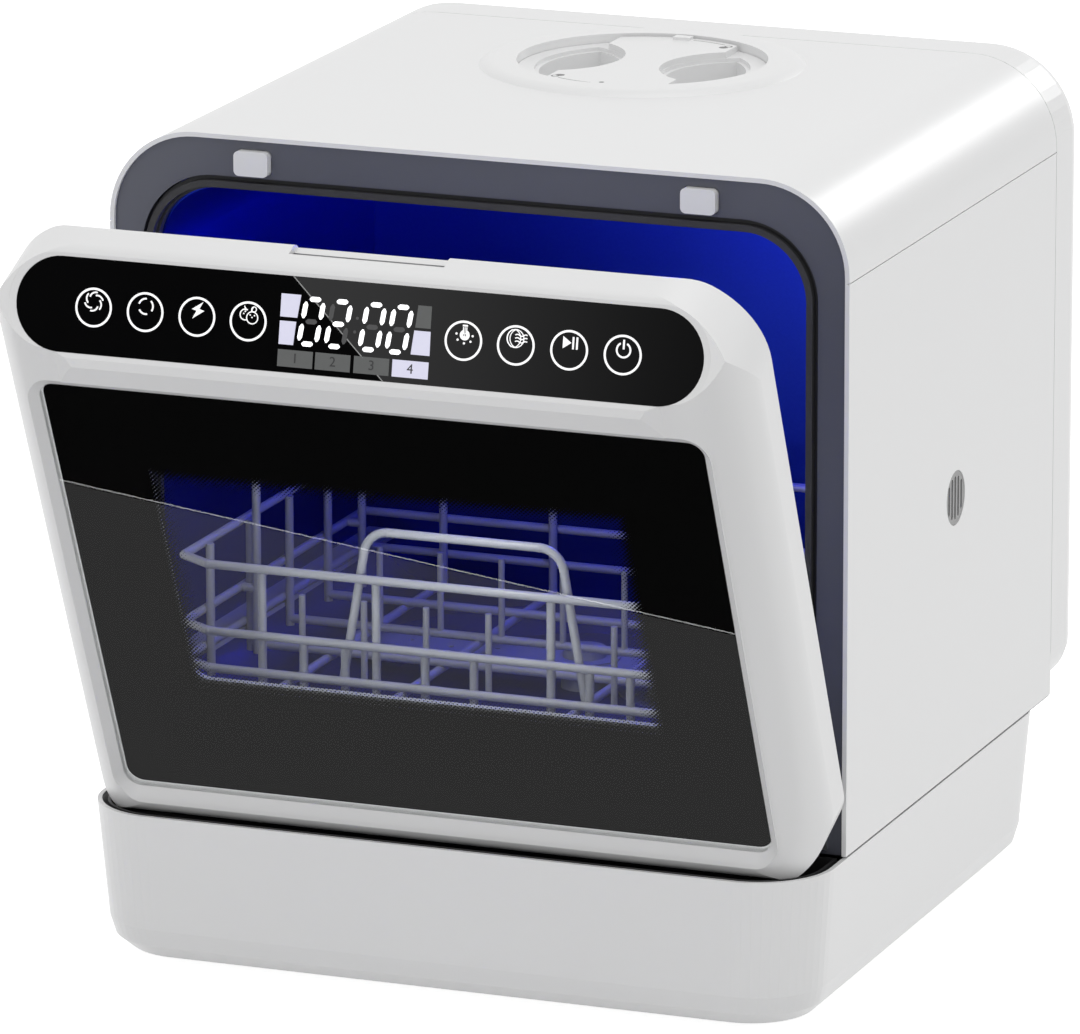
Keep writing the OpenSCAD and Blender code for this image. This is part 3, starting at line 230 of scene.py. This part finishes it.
def white_moulding(name, marks=None):
    """White plastic, with dark print where marks(finish) gives 1."""
    white = Finish(name)
    cloud = white.noise(4.0)
    colour = white.blend(cloud, (0.775, 0.776, 0.778, 1), (0.80, 0.801, 0.803, 1))
    if marks:
        colour = white.blend(marks(white), colour, (0.05, 0.05, 0.05, 1))
    return white.surface(colour=colour, rough=0.30 + 0.08 * cloud, coat=0.15, coat_rough=0.18,
                         normal=white.bump(white.noise(1400.0, 3.0), 0.00003))


dress(white_moulding("white moulded cover"), "base_housing", "top_cover", "side_panel_left",
      "side_panel_right", "rear_cover", "inlet_collar", "door_frame", "latch_block_left",
      "latch_block_right", "water_inlet")


# ---- Filler cap ----
# Moulded in the covers' white. Fine dark marks near its rim show which way it
# turns: two arcs with a lock at the end of each, and a spot.
cap_low, cap_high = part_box("inlet_cap")
spot_at = (-91, 0.060)
spot_r = 0.0015
arc_r = 0.063
arc_w = 0.0008
arc_half = math.radians(10)
lock_body_at = 0.0580
lock_body_r = 0.0026
lock_bow_at = 0.0615
lock_bow_r = (0.0014, 0.0024)


def turning_marks(white):
    """1 on the cap's two arcs, two locks and spot, and 0 elsewhere."""
    x, y, _ = white.axes(white.place(shift=tuple(-(cap_low + cap_high) / 2)))
    from_centre = (x * x + y * y).math("SQRT")
    heading = y.math("ARCTAN2", x)

    def round_mark(angle, radius, low, high):
        spot = Vector((math.cos(math.radians(angle)), math.sin(math.radians(angle)))) * radius
        away = ((x - spot.x) * (x - spot.x) + (y - spot.y) * (y - spot.y)).math("SQRT")
        return (away > low) * (away < high)

    marks = round_mark(*spot_at, -1.0, spot_r)
    for arc_angle, lock_angle in ((74, 60), (-106, -120)):
        marks = marks.math("MAXIMUM", (abs(from_centre - arc_r) < arc_w / 2)
                           * (abs(heading - math.radians(arc_angle)) < arc_half))
        marks = marks.math("MAXIMUM", round_mark(lock_angle, lock_body_at, -1.0, lock_body_r))
        marks = marks.math("MAXIMUM", round_mark(lock_angle, lock_bow_at, *lock_bow_r))
    return marks


dress(white_moulding("white moulded cap", turning_marks), "inlet_cap")

# ---- Slate front frame ----
# One moulding in dark slate, satin, that closes the gap between the white
# covers and the tub's mouth and holds the latches.
slate = Finish("slate moulding")
shade = slate.noise(5.0)
dress(slate.surface(
    colour=slate.blend(shade, (0.074, 0.078, 0.100, 1), (0.092, 0.096, 0.122, 1)),
    rough=0.40 + 0.06 * shade, normal=slate.bump(slate.noise(1300.0), 0.00003)), "front_frame")

# ---- Rubber ----
# Feet, mouth gasket, cap seal and glass seal, pressed in black rubber, matt
# and slightly dusty.
rubber = Finish("black rubber")
dust = rubber.noise(55.0, 4.0)
dress(rubber.surface(
    colour=rubber.blend(dust, (0.016, 0.016, 0.018, 1), (0.034, 0.034, 0.037, 1)),
    rough=0.55 + 0.15 * dust, normal=rubber.bump(rubber.noise(700.0), 0.00006)),
    "feet", "door_gasket", "cap_seal", "inner_glass_seal")

# ---- Steel hardware ----
# Hinge arms, brackets, pins, springs, screws, filter plate and heater, in
# bright stainless steel, brushed.
steel = Finish("brushed steel")
brushing = steel.noise(90.0, 3.0, (6.0, 0.4, 6.0))
dress(steel.surface(
    colour=steel.blend(brushing, (0.44, 0.45, 0.47, 1), (0.60, 0.61, 0.63, 1)), metal=1.0,
    rough=0.30 + 0.12 * brushing, normal=steel.bump(brushing, 0.00003)),
    "filter_plate", "heater", "hinge_brackets", "hinge_pins", "latch_spring_left", "latch_spring_right",
    "cover_screws", "hinge_arms", "door_screws")

# ---- Tub ----
# Deep-drawn stainless steel, brushed from front to back. Its colour is painted
# deep blue as a stand-in for the light of its blue lamps: painted lamp light.
lamp_blue_tub = Finish("tub steel painted with blue lamp light")
brushing = lamp_blue_tub.noise(90.0, 3.0, (6.0, 0.4, 6.0))
# Painted lamp light: both colours are painted blue for the lamps' glow; only the brushed grain between
# them is the steel's own.
dress(lamp_blue_tub.surface(
    colour=lamp_blue_tub.blend(brushing, (0.010, 0.026, 0.32, 1), (0.014, 0.034, 0.40, 1)), metal=1.0,
    rough=0.34 + 0.08 * brushing, normal=lamp_blue_tub.bump(brushing, 0.00003)), "tub")

# ---- Tub lamps ----
# Two blue lamps behind round lenses in the tub's ceiling. A weak white light
# behind the door, which moves with it, stands for the room's light on the wires.
lens = Finish("lit blue lens")
ribs = lens.noise(160.0)
dress(lens.surface(
    colour=lens.blend(ribs, (0.25, 0.35, 0.85, 1), (0.35, 0.45, 0.95, 1)), rough=0.25,
    glow=lens.blend(ribs, (0.04, 0.07, 1.0, 1), (0.09, 0.14, 1.0, 1)), glow_strength=2.0), "tub_lamp")
lamp_low, lamp_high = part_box("tub_lamp")
lens_r = 0.008
lamp_drop = 0.02
blue_light = (0.03, 0.05, 1.0)
for name, place, watts, colour in (
        ("left tub lamp", (lens_r - lamp_high.x, 0.0, lamp_low.z - lamp_drop), 0.25, blue_light),
        ("right tub lamp", (lamp_high.x - lens_r, 0.0, lamp_low.z - lamp_drop), 1.1, blue_light),
        ("light behind the door", (0.0, -0.205, 0.30), 0.17, (1.0, 1.0, 1.0))):
    light = bpy.data.lights.new(name, "POINT")
    light.energy = watts
    light.color = colour
    light.shadow_soft_size = 2 * lens_r
    lamp = bpy.data.objects.new(name, light)
    scene.collection.objects.link(lamp)
    lamp.location = place
    lamp.visible_camera = False
    lamp.visible_transmission = False
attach(lamp, "door")

# ---- Grey inner mouldings ----
# Spray arm, post, filter cup, sump, tank, runners, clips, door liner and base
# plate, moulded in plain grey plastic.
grey = Finish("grey moulding")
flow = grey.noise(9.0)
dress(grey.surface(
    colour=grey.blend(flow, (0.29, 0.30, 0.32, 1), (0.35, 0.36, 0.38, 1)),
    rough=0.40 + 0.1 * flow, normal=grey.bump(grey.noise(900.0), 0.00004)),
    "base_plate", "fill_funnel", "water_tank", "sump", "spray_post", "spray_arm", "filter_cup",
    "basket_runners", "latch_housings", "drain_spigot", "fan_rotor", "shelf_clips", "door_liner")

# ---- Side vent grille ----
# A round grille with upright slots, moulded in a darker grey and clipped into
# the right side panel.
vent = Finish("vent grey moulding")
flow = vent.noise(30.0)
dress(vent.surface(
    colour=vent.blend(flow, (0.28, 0.28, 0.28, 1), (0.34, 0.34, 0.34, 1)),
    rough=0.42 + 0.08 * flow, normal=vent.bump(vent.noise(900.0), 0.00004)), "side_vent_grille")

# ---- Black inner mouldings ----
# The chassis plate, the pan under the door, pumps, fan housing and cord
# gland, moulded in black plastic with a fine spark-eroded grain.
black = Finish("black moulding")
spark = black.noise(420.0, 3.0)
dress(black.surface(
    colour=black.blend(spark, (0.010, 0.010, 0.011, 1), (0.022, 0.022, 0.024, 1)),
    rough=0.46 + 0.1 * spark, normal=black.bump(spark, 0.00004)),
    "chassis_plate", "door_well", "wash_pump", "drain_pump", "cord_gland", "fan_housing")

# ---- Circuit boards ----
# Green boards for the power side and behind the control panel, with fine
# copper tracks under the solder mask.
board = Finish("circuit board")
tracks = board.noise(260.0, 1.0).rise(0.48, 0.54)
dress(board.surface(
    colour=board.blend(tracks, (0.012, 0.075, 0.030, 1), (0.020, 0.130, 0.050, 1)),
    rough=0.30 + 0.1 * tracks, normal=board.bump(tracks, 0.00005)), "display_board", "power_board")

# ---- Wire basket and cup shelf ----
# Steel wire, welded where it crosses, in a smooth coat of grey nylon that
# pools a little at the welds.
coat = Finish("nylon coated wire")
pool = coat.noise(45.0, 3.0)
dress(coat.surface(
    colour=coat.blend(pool, (0.30, 0.307, 0.345, 1), (0.36, 0.367, 0.41, 1)),
    rough=0.30 + 0.12 * pool, normal=coat.bump(pool, 0.0001), coat=0.2, coat_rough=0.25),
    "basket_front", "basket_back", "basket_side_left", "basket_side_right", "basket_floor",
    "basket_handle", "plate_tines", "cup_shelf")

# ---- Door glass ----
# Float glass, glued on the frame's ledge, with a front face that reflects. The
# inner glass closes the door's hollow and has a coat that stops reflections.
joints = frame["record"]["behaviour"]["joints"]
door_joint = next(joint for joint in joints if joint["name"] == "door_hinge")
hinge = Vector(door_joint["pos_m"])
ajar = math.radians(-door_joint["range_deg"][0])
swung = Matrix.Translation(hinge) @ Matrix.Rotation(ajar, 4, "X") @ Matrix.Translation(-hinge)
shut = swung.inverted()
glass_y = -0.1885
glass_t = 0.004
for name, polish in (("outer_glass", 1.0), ("inner_glass", 0.0)):
    pane = Finish(name.replace("_", " "))
    ripple = pane.noise(3.0)
    depth = pane.axes(pane.place(turn=(-ajar, 0, 0), shift=tuple(shut.translation)))[1]
    dress(pane.surface(
        colour=pane.blend(ripple, (0.94, 0.955, 0.955, 1), (0.96, 0.965, 0.965, 1)), rough=0.0, ior=1.0,
        clear=1.0, coat=polish * (depth < glass_y + glass_t / 2), coat_rough=0.0), name)
    nodes[name].visible_shadow = False

# ---- Print on the door glass ----
# A black ceramic print on the back of the glass, open over the window. It
# ends in a band of dots that shrink towards the clear part.
glass_w = 0.370
glass_h = 0.269
glass_r = 0.009
glass_z = 0.2452
print_t = 0.0001
print_margin = 0.0004
window_w = 0.274
window_h = 0.153
window_z = 0.253
dot_pitch = 0.0024
dot_full = 0.74
dot_least = 0.12
band_w = 0.015
print_corner_steps = 8
bpy.ops.object.select_all(action="DESELECT")
bpy.ops.mesh.primitive_plane_add(size=1, location=(0, glass_y + glass_t - 3 * print_t, glass_z),
                                 rotation=(math.pi / 2, 0, 0))
glass_print = bpy.context.object
glass_print.name = "glass_print"
glass_print.scale = (glass_w - 2 * print_margin, glass_h - 2 * print_margin, 1)
bpy.ops.object.transform_apply(location=True, rotation=True, scale=True)
bpy.ops.object.mode_set(mode="EDIT")
bpy.ops.mesh.select_all(action="SELECT")
bpy.ops.mesh.bevel(offset=glass_r, segments=print_corner_steps, affect="VERTICES")
bpy.ops.mesh.select_all(action="SELECT")
bpy.ops.mesh.extrude_region_move(TRANSFORM_OT_translate={"value": (0, print_t, 0)})
bpy.ops.mesh.select_all(action="SELECT")
bpy.ops.mesh.normals_make_consistent(inside=False)
bpy.ops.object.mode_set(mode="OBJECT")
glass_print.matrix_world = swung
bpy.ops.object.transform_apply(location=True, rotation=True, scale=True)

ink = Finish("black ceramic print")
across, _, height = ink.axes(ink.place(turn=(-ajar, 0, 0), shift=tuple(shut.translation)))
inside = (window_w / 2 - abs(across)).math("MINIMUM", window_h / 2 - abs(height - window_z))
falling = ((across + height) / dot_pitch).math("FRACT") - 0.5
climbing = ((across - height) / dot_pitch).math("FRACT") - 0.5
from_dot = (falling * falling + climbing * climbing).math("SQRT")
dot_r = dot_full - (dot_full - dot_least) * inside.rise(-0.001, band_w)
dots = (from_dot < dot_r) * (inside < band_w)
speck = ink.noise(300.0)
glass_print.data.materials.append(ink.surface(
    colour=ink.blend(speck, (0.0008, 0.0008, 0.0008, 1), (0.0015, 0.0015, 0.0015, 1)),
    rough=0.5 + 0.1 * speck, specular=0.0, alpha=dots.math("MAXIMUM", inside < 0.0)))
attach(glass_print, "door")

# ---- Control panel lens ----
# A lens of black acrylic in the door's leaning face, flush in a bevel, over
# the display and the touch keys.
acrylic = Finish("black acrylic lens")
haze = acrylic.noise(25.0)
dress(acrylic.surface(
    colour=acrylic.blend(haze, (0.0022, 0.0022, 0.0024, 1), (0.0032, 0.0032, 0.0034, 1)),
    rough=0.003 + 0.002 * haze, normal=acrylic.bump(acrylic.noise(4.0), 0.00001)), "control_panel")

# ---- Touch keys ----
# Eight white rings printed on the lens, each with the sign of its programme
# or function in the upper half. They are lit a little from behind.
mm = 0.001
panel_lean = math.radians(34.2)
lens_t = 0.002
mark_t = 0.00012
lens_low, lens_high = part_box("control_panel")
lens_turn = ajar + math.pi / 2 - panel_lean
lens_out = Vector((0, -math.sin(lens_turn), math.cos(lens_turn)))
lens_centre = (lens_low + lens_high) / 2 + lens_out * lens_t / 2
lens_face = Matrix.Translation(lens_centre) @ Matrix.Rotation(lens_turn, 4, "X")


def facet(corners):
    """A flat face drawn corner by corner."""
    bpy.ops.object.select_all(action="DESELECT")
    bpy.ops.mesh.primitive_plane_add(size=mm, location=corners[0])
    bpy.ops.object.mode_set(mode="EDIT")
    bpy.ops.mesh.merge(type="CENTER")
    for here, there in zip(corners, corners[1:]):
        bpy.ops.mesh.extrude_vertices_move(TRANSFORM_OT_translate={
            "value": tuple(Vector(there) - Vector(here))})
    bpy.ops.mesh.select_all(action="SELECT")
    bpy.ops.mesh.edge_face_add()
    bpy.ops.object.mode_set(mode="OBJECT")
    return bpy.context.object


def outline(points):
    """A flat sign drawn corner by corner, in millimetres."""
    return facet([(x * mm, y * mm, 0) for x, y in points])


def bar(low, high):
    """A flat upright bar between two corners, in millimetres."""
    return outline([low, (high[0], low[1]), high, (low[0], high[1])])


def ribbon(centre, radius, width, start, sweep):
    """A flat ribbon bent round a centre, in millimetres and degrees."""
    way = Vector((math.cos(math.radians(start)), math.sin(math.radians(start)), 0))
    middle = Vector((*centre, 0))
    bpy.ops.object.select_all(action="DESELECT")
    bpy.ops.mesh.primitive_plane_add(size=mm, location=(middle + way * (radius - width / 2)) * mm)
    bpy.ops.object.mode_set(mode="EDIT")
    bpy.ops.mesh.merge(type="CENTER")
    bpy.ops.mesh.extrude_vertices_move(TRANSFORM_OT_translate={"value": tuple(way * width * mm)})
    bpy.ops.mesh.select_all(action="SELECT")
    bpy.ops.mesh.spin(steps=max(6, int(abs(sweep) / 6)), angle=math.radians(-sweep),
                      center=tuple(middle * mm), axis=(0, 0, 1))
    bpy.ops.mesh.select_all(action="SELECT")
    bpy.ops.mesh.remove_doubles(threshold=mm / 100)
    bpy.ops.object.mode_set(mode="OBJECT")
    return bpy.context.object


def disc(centre, radius):
    """A flat round face, in millimetres."""
    bpy.ops.object.select_all(action="DESELECT")
    bpy.ops.mesh.primitive_circle_add(vertices=24, radius=radius * mm, fill_type="NGON",
                                      location=(centre[0] * mm, centre[1] * mm, 0))
    return bpy.context.object


def printed(name, flats, thickness):
    """Joins flat signs, gives them a thickness and lays them on the lens."""
    bpy.ops.object.select_all(action="DESELECT")
    for flat in flats:
        flat.select_set(True)
    bpy.context.view_layer.objects.active = flats[0]
    bpy.ops.object.transform_apply(location=True, rotation=True, scale=True)
    bpy.ops.object.join()
    piece = bpy.context.object
    piece.name = name
    bpy.ops.object.mode_set(mode="EDIT")
    bpy.ops.mesh.select_all(action="SELECT")
    bpy.ops.mesh.extrude_region_move(TRANSFORM_OT_translate={"value": (0, 0, thickness)})
    bpy.ops.mesh.select_all(action="SELECT")
    bpy.ops.mesh.normals_make_consistent(inside=False)
    bpy.ops.object.mode_set(mode="OBJECT")
    piece.matrix_world = lens_face
    bpy.ops.object.transform_apply(location=True, rotation=True, scale=True)
    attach(piece, "door")
    return piece


key_x = (-146.5, -117.4, -88.3, -59.6, 59.6, 88.3, 117.4, 146.5)
key_v = -0.4
key_r = 10.3
line = 1.15
pinwheel = []
for a in range(0, 360, 60):
    blade_at = (1.8 * math.cos(math.radians(a)), 3.1 + 1.8 * math.sin(math.radians(a)))
    pinwheel.append(ribbon(blade_at, 3.3, 0.85, a + 14, 92))
cycle = [ribbon((0.2, 3.0), 4.0, 0.9, start, sweep) for start, sweep in ((86, 78), (-34, 82), (208, 76))]
bolt = [outline([(3.2, 7.9), (-3.1, 3.8), (-0.4, 3.1), (-2.6, -1.1), (4.0, 3.3), (1.1, 4.1)])]
berries = [ribbon((-1.9, 3.4), 2.8, 0.6, 62, 238), ribbon((2.1, 2.0), 3.1, 0.6, 0, 360),
           ribbon((4.2, 5.4), 2.6, 0.55, 130, 60), ribbon((2.9, 6.4), 1.3, 0.5, 0, 360),
           ribbon((-4.6, 6.2), 2.6, 0.55, -15, 55), ribbon((0.4, 7.6), 2.4, 0.55, 190, 45)] + [
    disc(at, 0.4) for at in ((2.0, 2.2), (3.3, 3.2), (0.9, 3.4), (-2.7, 3.9), (-1.9, 5.0))]
bulb = [bar((-0.8, 7.3), (2.0, 8.2)), bar((-0.6, 4.4), (-0.05, 7.0)), bar((0.35, 1.5), (0.8, 7.0)),
        bar((1.2, 4.4), (1.75, 7.0)), ribbon((0.55, 2.9), 1.75, 1.9, 112, 316)] + [
    disc(at, 0.6) for at in ((-4.0, 3.4), (4.9, 2.7), (-3.2, 0.3), (3.9, -0.2), (0.4, -1.3))]
drum = [ribbon((-0.4, 3.5), 4.6, 0.55, 0, 360), ribbon((1.5, 3.5), 4.9, 0.5, 115, 130),
        ribbon((-2.4, 3.5), 4.9, 0.5, -62, 124), ribbon((0.4, 3.5), 5.2, 0.45, 122, 116)]
for y in (1.6, 3.3, 5.0):
    drum += [ribbon((0.6, y - 1.2), 1.9, 0.6, 52, 76), ribbon((2.9, y + 1.8), 1.9, 0.6, 232, 76),
             ribbon((5.2, y - 1.2), 1.9, 0.6, 62, 66)]
play = [outline([(-3.6, 0.7), (1.0, 3.8), (-3.6, 7.0)]), bar((1.5, 0.6), (2.5, 6.9)),
        bar((3.6, 0.6), (4.6, 6.9))]
power = [ribbon((0.3, 2.5), 3.7, 0.95, 118, 304), bar((-0.2, 2.9), (0.8, 7.8))]
key_marks = []
for x, sign in zip(key_x, (pinwheel, cycle, bolt, berries, bulb, drum, play, power)):
    sign.append(ribbon((0, 0), key_r - line / 2, line, 0, 360))
    for flat in sign:
        flat.location += Vector((x, key_v, 0)) * mm
    key_marks += sign
key_print = printed("key_print", key_marks, mark_t)
white_ink = Finish("backlit white ink")
mottle = white_ink.noise(500.0)
key_print.data.materials.append(white_ink.surface(
    colour=white_ink.blend(mottle, (0.80, 0.80, 0.80, 1), (0.86, 0.86, 0.86, 1)),
    rough=0.45 + 0.1 * mottle, glow=white_ink.blend(mottle, (0.90, 0.90, 0.92, 1), (1, 1, 1, 1)),
    glow_strength=0.45))

# ---- Display figures ----
# Four seven-stroke figures that lean a little, with a colon. Lit strokes glow
# white, the others stay grey behind the lens.
figure_x = (-24.6, -9.6, 9.2, 24.1)
figure_v = 2.3
lean = 0.134
reach_x = 4.8
reach_v = 11.6
stroke_w = 2.6
upright_stretch = 1.38
colon_r = 0.8
flat_stroke = [(-3.1, -0.4), (-2.0, -stroke_w / 2), (2.0, -stroke_w / 2), (3.1, -0.4), (3.1, 0.4),
               (2.0, stroke_w / 2), (-2.0, stroke_w / 2), (-3.1, 0.4)]
upright_stroke = [(y, x * upright_stretch) for x, y in flat_stroke]
stroke_at = {"a": (0, reach_v), "b": (reach_x, reach_v / 2), "c": (reach_x, -reach_v / 2),
             "d": (0, -reach_v), "e": (-reach_x, -reach_v / 2), "f": (-reach_x, reach_v / 2),
             "g": (0, 0)}
lit = []
unlit = [disc((0.7, 6.2), colon_r), disc((-0.3, -0.9), colon_r)]
for x, shown in zip(figure_x, ("abcdef", "abged", "abcdef", "abcdef")):
    for name, (side, level) in stroke_at.items():
        shape = flat_stroke if name in "adg" else upright_stroke
        stroke = outline([(x + side + px + lean * (level + py), figure_v + level + py)
                          for px, py in shape])
        (lit if name in shown else unlit).append(stroke)
strokes_lit = printed("display_strokes_lit", lit, mark_t)
strokes_unlit = printed("display_strokes_unlit", unlit, mark_t)

glowing = Finish("lit stroke")
strokes_lit.data.materials.append(glowing.surface(
    colour=(0.8, 0.8, 0.8, 1), rough=0.5,
    glow=glowing.blend(glowing.noise(400.0), (0.95, 0.95, 1.0, 1), (1, 1, 1, 1)), glow_strength=1.1))
resting = Finish("unlit stroke")
strokes_unlit.data.materials.append(resting.surface(
    colour=resting.blend(resting.noise(400.0), (0.050, 0.050, 0.052, 1), (0.062, 0.062, 0.064, 1)),
    rough=0.5))

# ---- Display fields ----
# Two columns of lamp fields beside the figures and a row of four numbered
# fields below. One field of the row, one on the right and the left pair glow.
row_low = -21.9
row_high = -13.1
row_field_w = 19.5
fields_lit = printed("display_fields_lit", [
    outline([(-42, 3.7), (-32.5, 3.7), (-31, 15.6), (-42, 15.6)]),
    outline([(-42, -10.5), (-33.9, -10.5), (-32.9, 1.6), (-42, 1.6)]),
    outline([(31.2, -9.8), (41.6, -9.8), (41.4, 2.6), (32.4, 2.6)]),
    bar((21.5, row_low), (41.4, row_high))], mark_t)
fields_unlit = printed("display_fields_unlit", [
    outline([(32.8, 4.1), (41.3, 4.1), (41.3, 15.6), (33.8, 15.6)])] + [
    bar((x, row_low), (x + row_field_w, row_high)) for x in (-42.1, -21.2, 0.25)], mark_t)
lavender = Finish("lit field")
fields_lit.data.materials.append(lavender.surface(
    colour=(0.25, 0.25, 0.30, 1), rough=0.5,
    glow=lavender.blend(lavender.noise(260.0, 3.0), (0.74, 0.73, 0.94, 1), (0.84, 0.83, 0.98, 1)),
    glow_strength=0.62))
slumber = Finish("unlit field")
fields_unlit.data.materials.append(slumber.surface(
    colour=slumber.blend(slumber.noise(260.0), (0.095, 0.099, 0.098, 1), (0.110, 0.114, 0.113, 1)),
    rough=0.5))

number_size = 7.2
numbers = []
for i, x in enumerate((-32.4, -11.5, 10.0, 31.4)):
    bpy.ops.object.select_all(action="DESELECT")
    bpy.ops.object.text_add(location=(x * mm, (row_low + row_high) / 2 * mm, 0))
    number = bpy.context.object
    number.data.body = str(i + 1)
    number.data.size = number_size * mm
    number.data.align_x = "CENTER"
    number.data.align_y = "CENTER"
    bpy.ops.object.convert(target="MESH")
    numbers.append(bpy.context.object)
field_numbers = printed("display_numbers", numbers, 2 * mark_t)
figures = Finish("black figures")
field_numbers.data.materials.append(figures.surface(
    colour=figures.blend(figures.noise(300.0), (0.012, 0.012, 0.013, 1), (0.02, 0.02, 0.022, 1)),
    rough=0.5))


# ---- Reflections in the door glass ----
# Dark and pale boards outside the picture, seen only by reflection. Where
# they meet, a slanting line crosses the glass.
def thrown(point, out, board_point, board_out):
    """Where the camera's view of a mirror that faces out at point meets a board."""
    eye = camera_place - 2 * (camera_place - point).dot(out) * out
    way = point - eye
    return eye + way * ((board_point - eye).dot(board_out) / way.dot(board_out))


def reflected_board(name, corners, brightness):
    """A glowing board that only reflections show."""
    board = facet(corners)
    bpy.ops.object.transform_apply(location=True, rotation=True, scale=True)
    board.name = name
    board.visible_camera = False
    board.visible_diffuse = False
    board.visible_transmission = False
    board.visible_shadow = False
    glow = Finish(name)
    colour = brightness(glow) if callable(brightness) else (brightness, brightness, brightness, 1)
    board.data.materials.append(glow.end(glow.node("ShaderNodeEmission", values={"Color": colour})))


glass_out = Vector((0, -math.cos(ajar), -math.sin(ajar)))
slope_point = Vector((0, -0.19, 0.0935))
slope_out = Vector((0, -0.2, 1)).normalized()
glass_left = -0.186
glass_right = 0.185
line_left_z = 0.3152
line_right_z = 0.2562
board_low_z = 0.108
board_high_z = 0.44
board_reach = 0.5
bright_w = 0.0012
glass_bright_lift = 0.001
low_a, low_b, line_a, line_b, top_a, top_b = (
    thrown(swung @ Vector((x, glass_y, z)), glass_out, slope_point, slope_out)
    for x, z in ((glass_left, board_low_z), (glass_right, board_low_z),
                 (glass_left, line_left_z), (glass_right, line_right_z),
                 (glass_left, board_high_z), (glass_right, board_high_z)))
aside = Vector((board_reach, 0, 0))
along = (line_b - line_a).normalized() * board_reach
beyond = (top_a - line_a).normalized() * bright_w
reflected_board("dark board", [line_a - along, line_b + along, top_b + aside, top_a - aside], 0.02)
reflected_board("pale board", [low_a - aside, low_b + aside, line_b + along, line_a - along], 0.52)
reflected_board("bright edge of the board", [corner + slope_out * glass_bright_lift for corner in (
    line_a - along, line_b + along, line_b + along + beyond, line_a - along + beyond)], 4.5)

# ---- Reflections in the control panel ----
# An upright dark board in front of the machine, and a pale one beside it that
# fades to the right. The line between them crosses the display.
front_point = Vector((0, -3.2, 0))
front_out = Vector((0, 1, 0))
lens_line = ((-36.6, 25.4), (15.0, -23.3))
lens_reach = 215
lens_rise = 45
lens_bright_lift = 0.002
line_top, line_low, left_top, left_low, right_top, right_low = (
    thrown(lens_face @ Vector((x * mm, v * mm, 0)), lens_out, front_point, front_out)
    for x, v in (*lens_line, (-lens_reach, lens_rise), (-lens_reach, -lens_rise),
                 (lens_reach, lens_rise), (lens_reach, -lens_rise)))
along = (line_low - line_top) * 0.5
beyond = (right_top - left_top).normalized() * bright_w
reflected_board("dark upright board", [left_low, left_top, line_top - along, line_low + along], 0.01)
reflected_board("pale upright board", [line_low + along, line_top - along, right_top, right_low],
                lambda glow: glow.blend(glow.axes(glow.place())[0].rise(line_top.x, right_top.x),
                                        (0.85, 0.85, 0.86, 1), (0.10, 0.10, 0.10, 1)))
reflected_board("bright edge of the upright board", [corner + front_out * lens_bright_lift for corner in (
    line_low + along, line_top - along, line_top - along + beyond, line_low + along + beyond)], 8.0)

# ---- Reflection along the covers' edge ----
# A bright card high behind the machine. Only the rounded edge between the top
# and the right side reflects it.
card_half = 0.45
card_place = Vector((0.95, 2.8, 1.45))
reflected_board("bright card behind", [
    card_place + Vector((sideways, 0, upward)) * card_half
    for sideways, upward in ((-1, -1), (1, -1), (1, 1), (-1, 1))], 5.0)
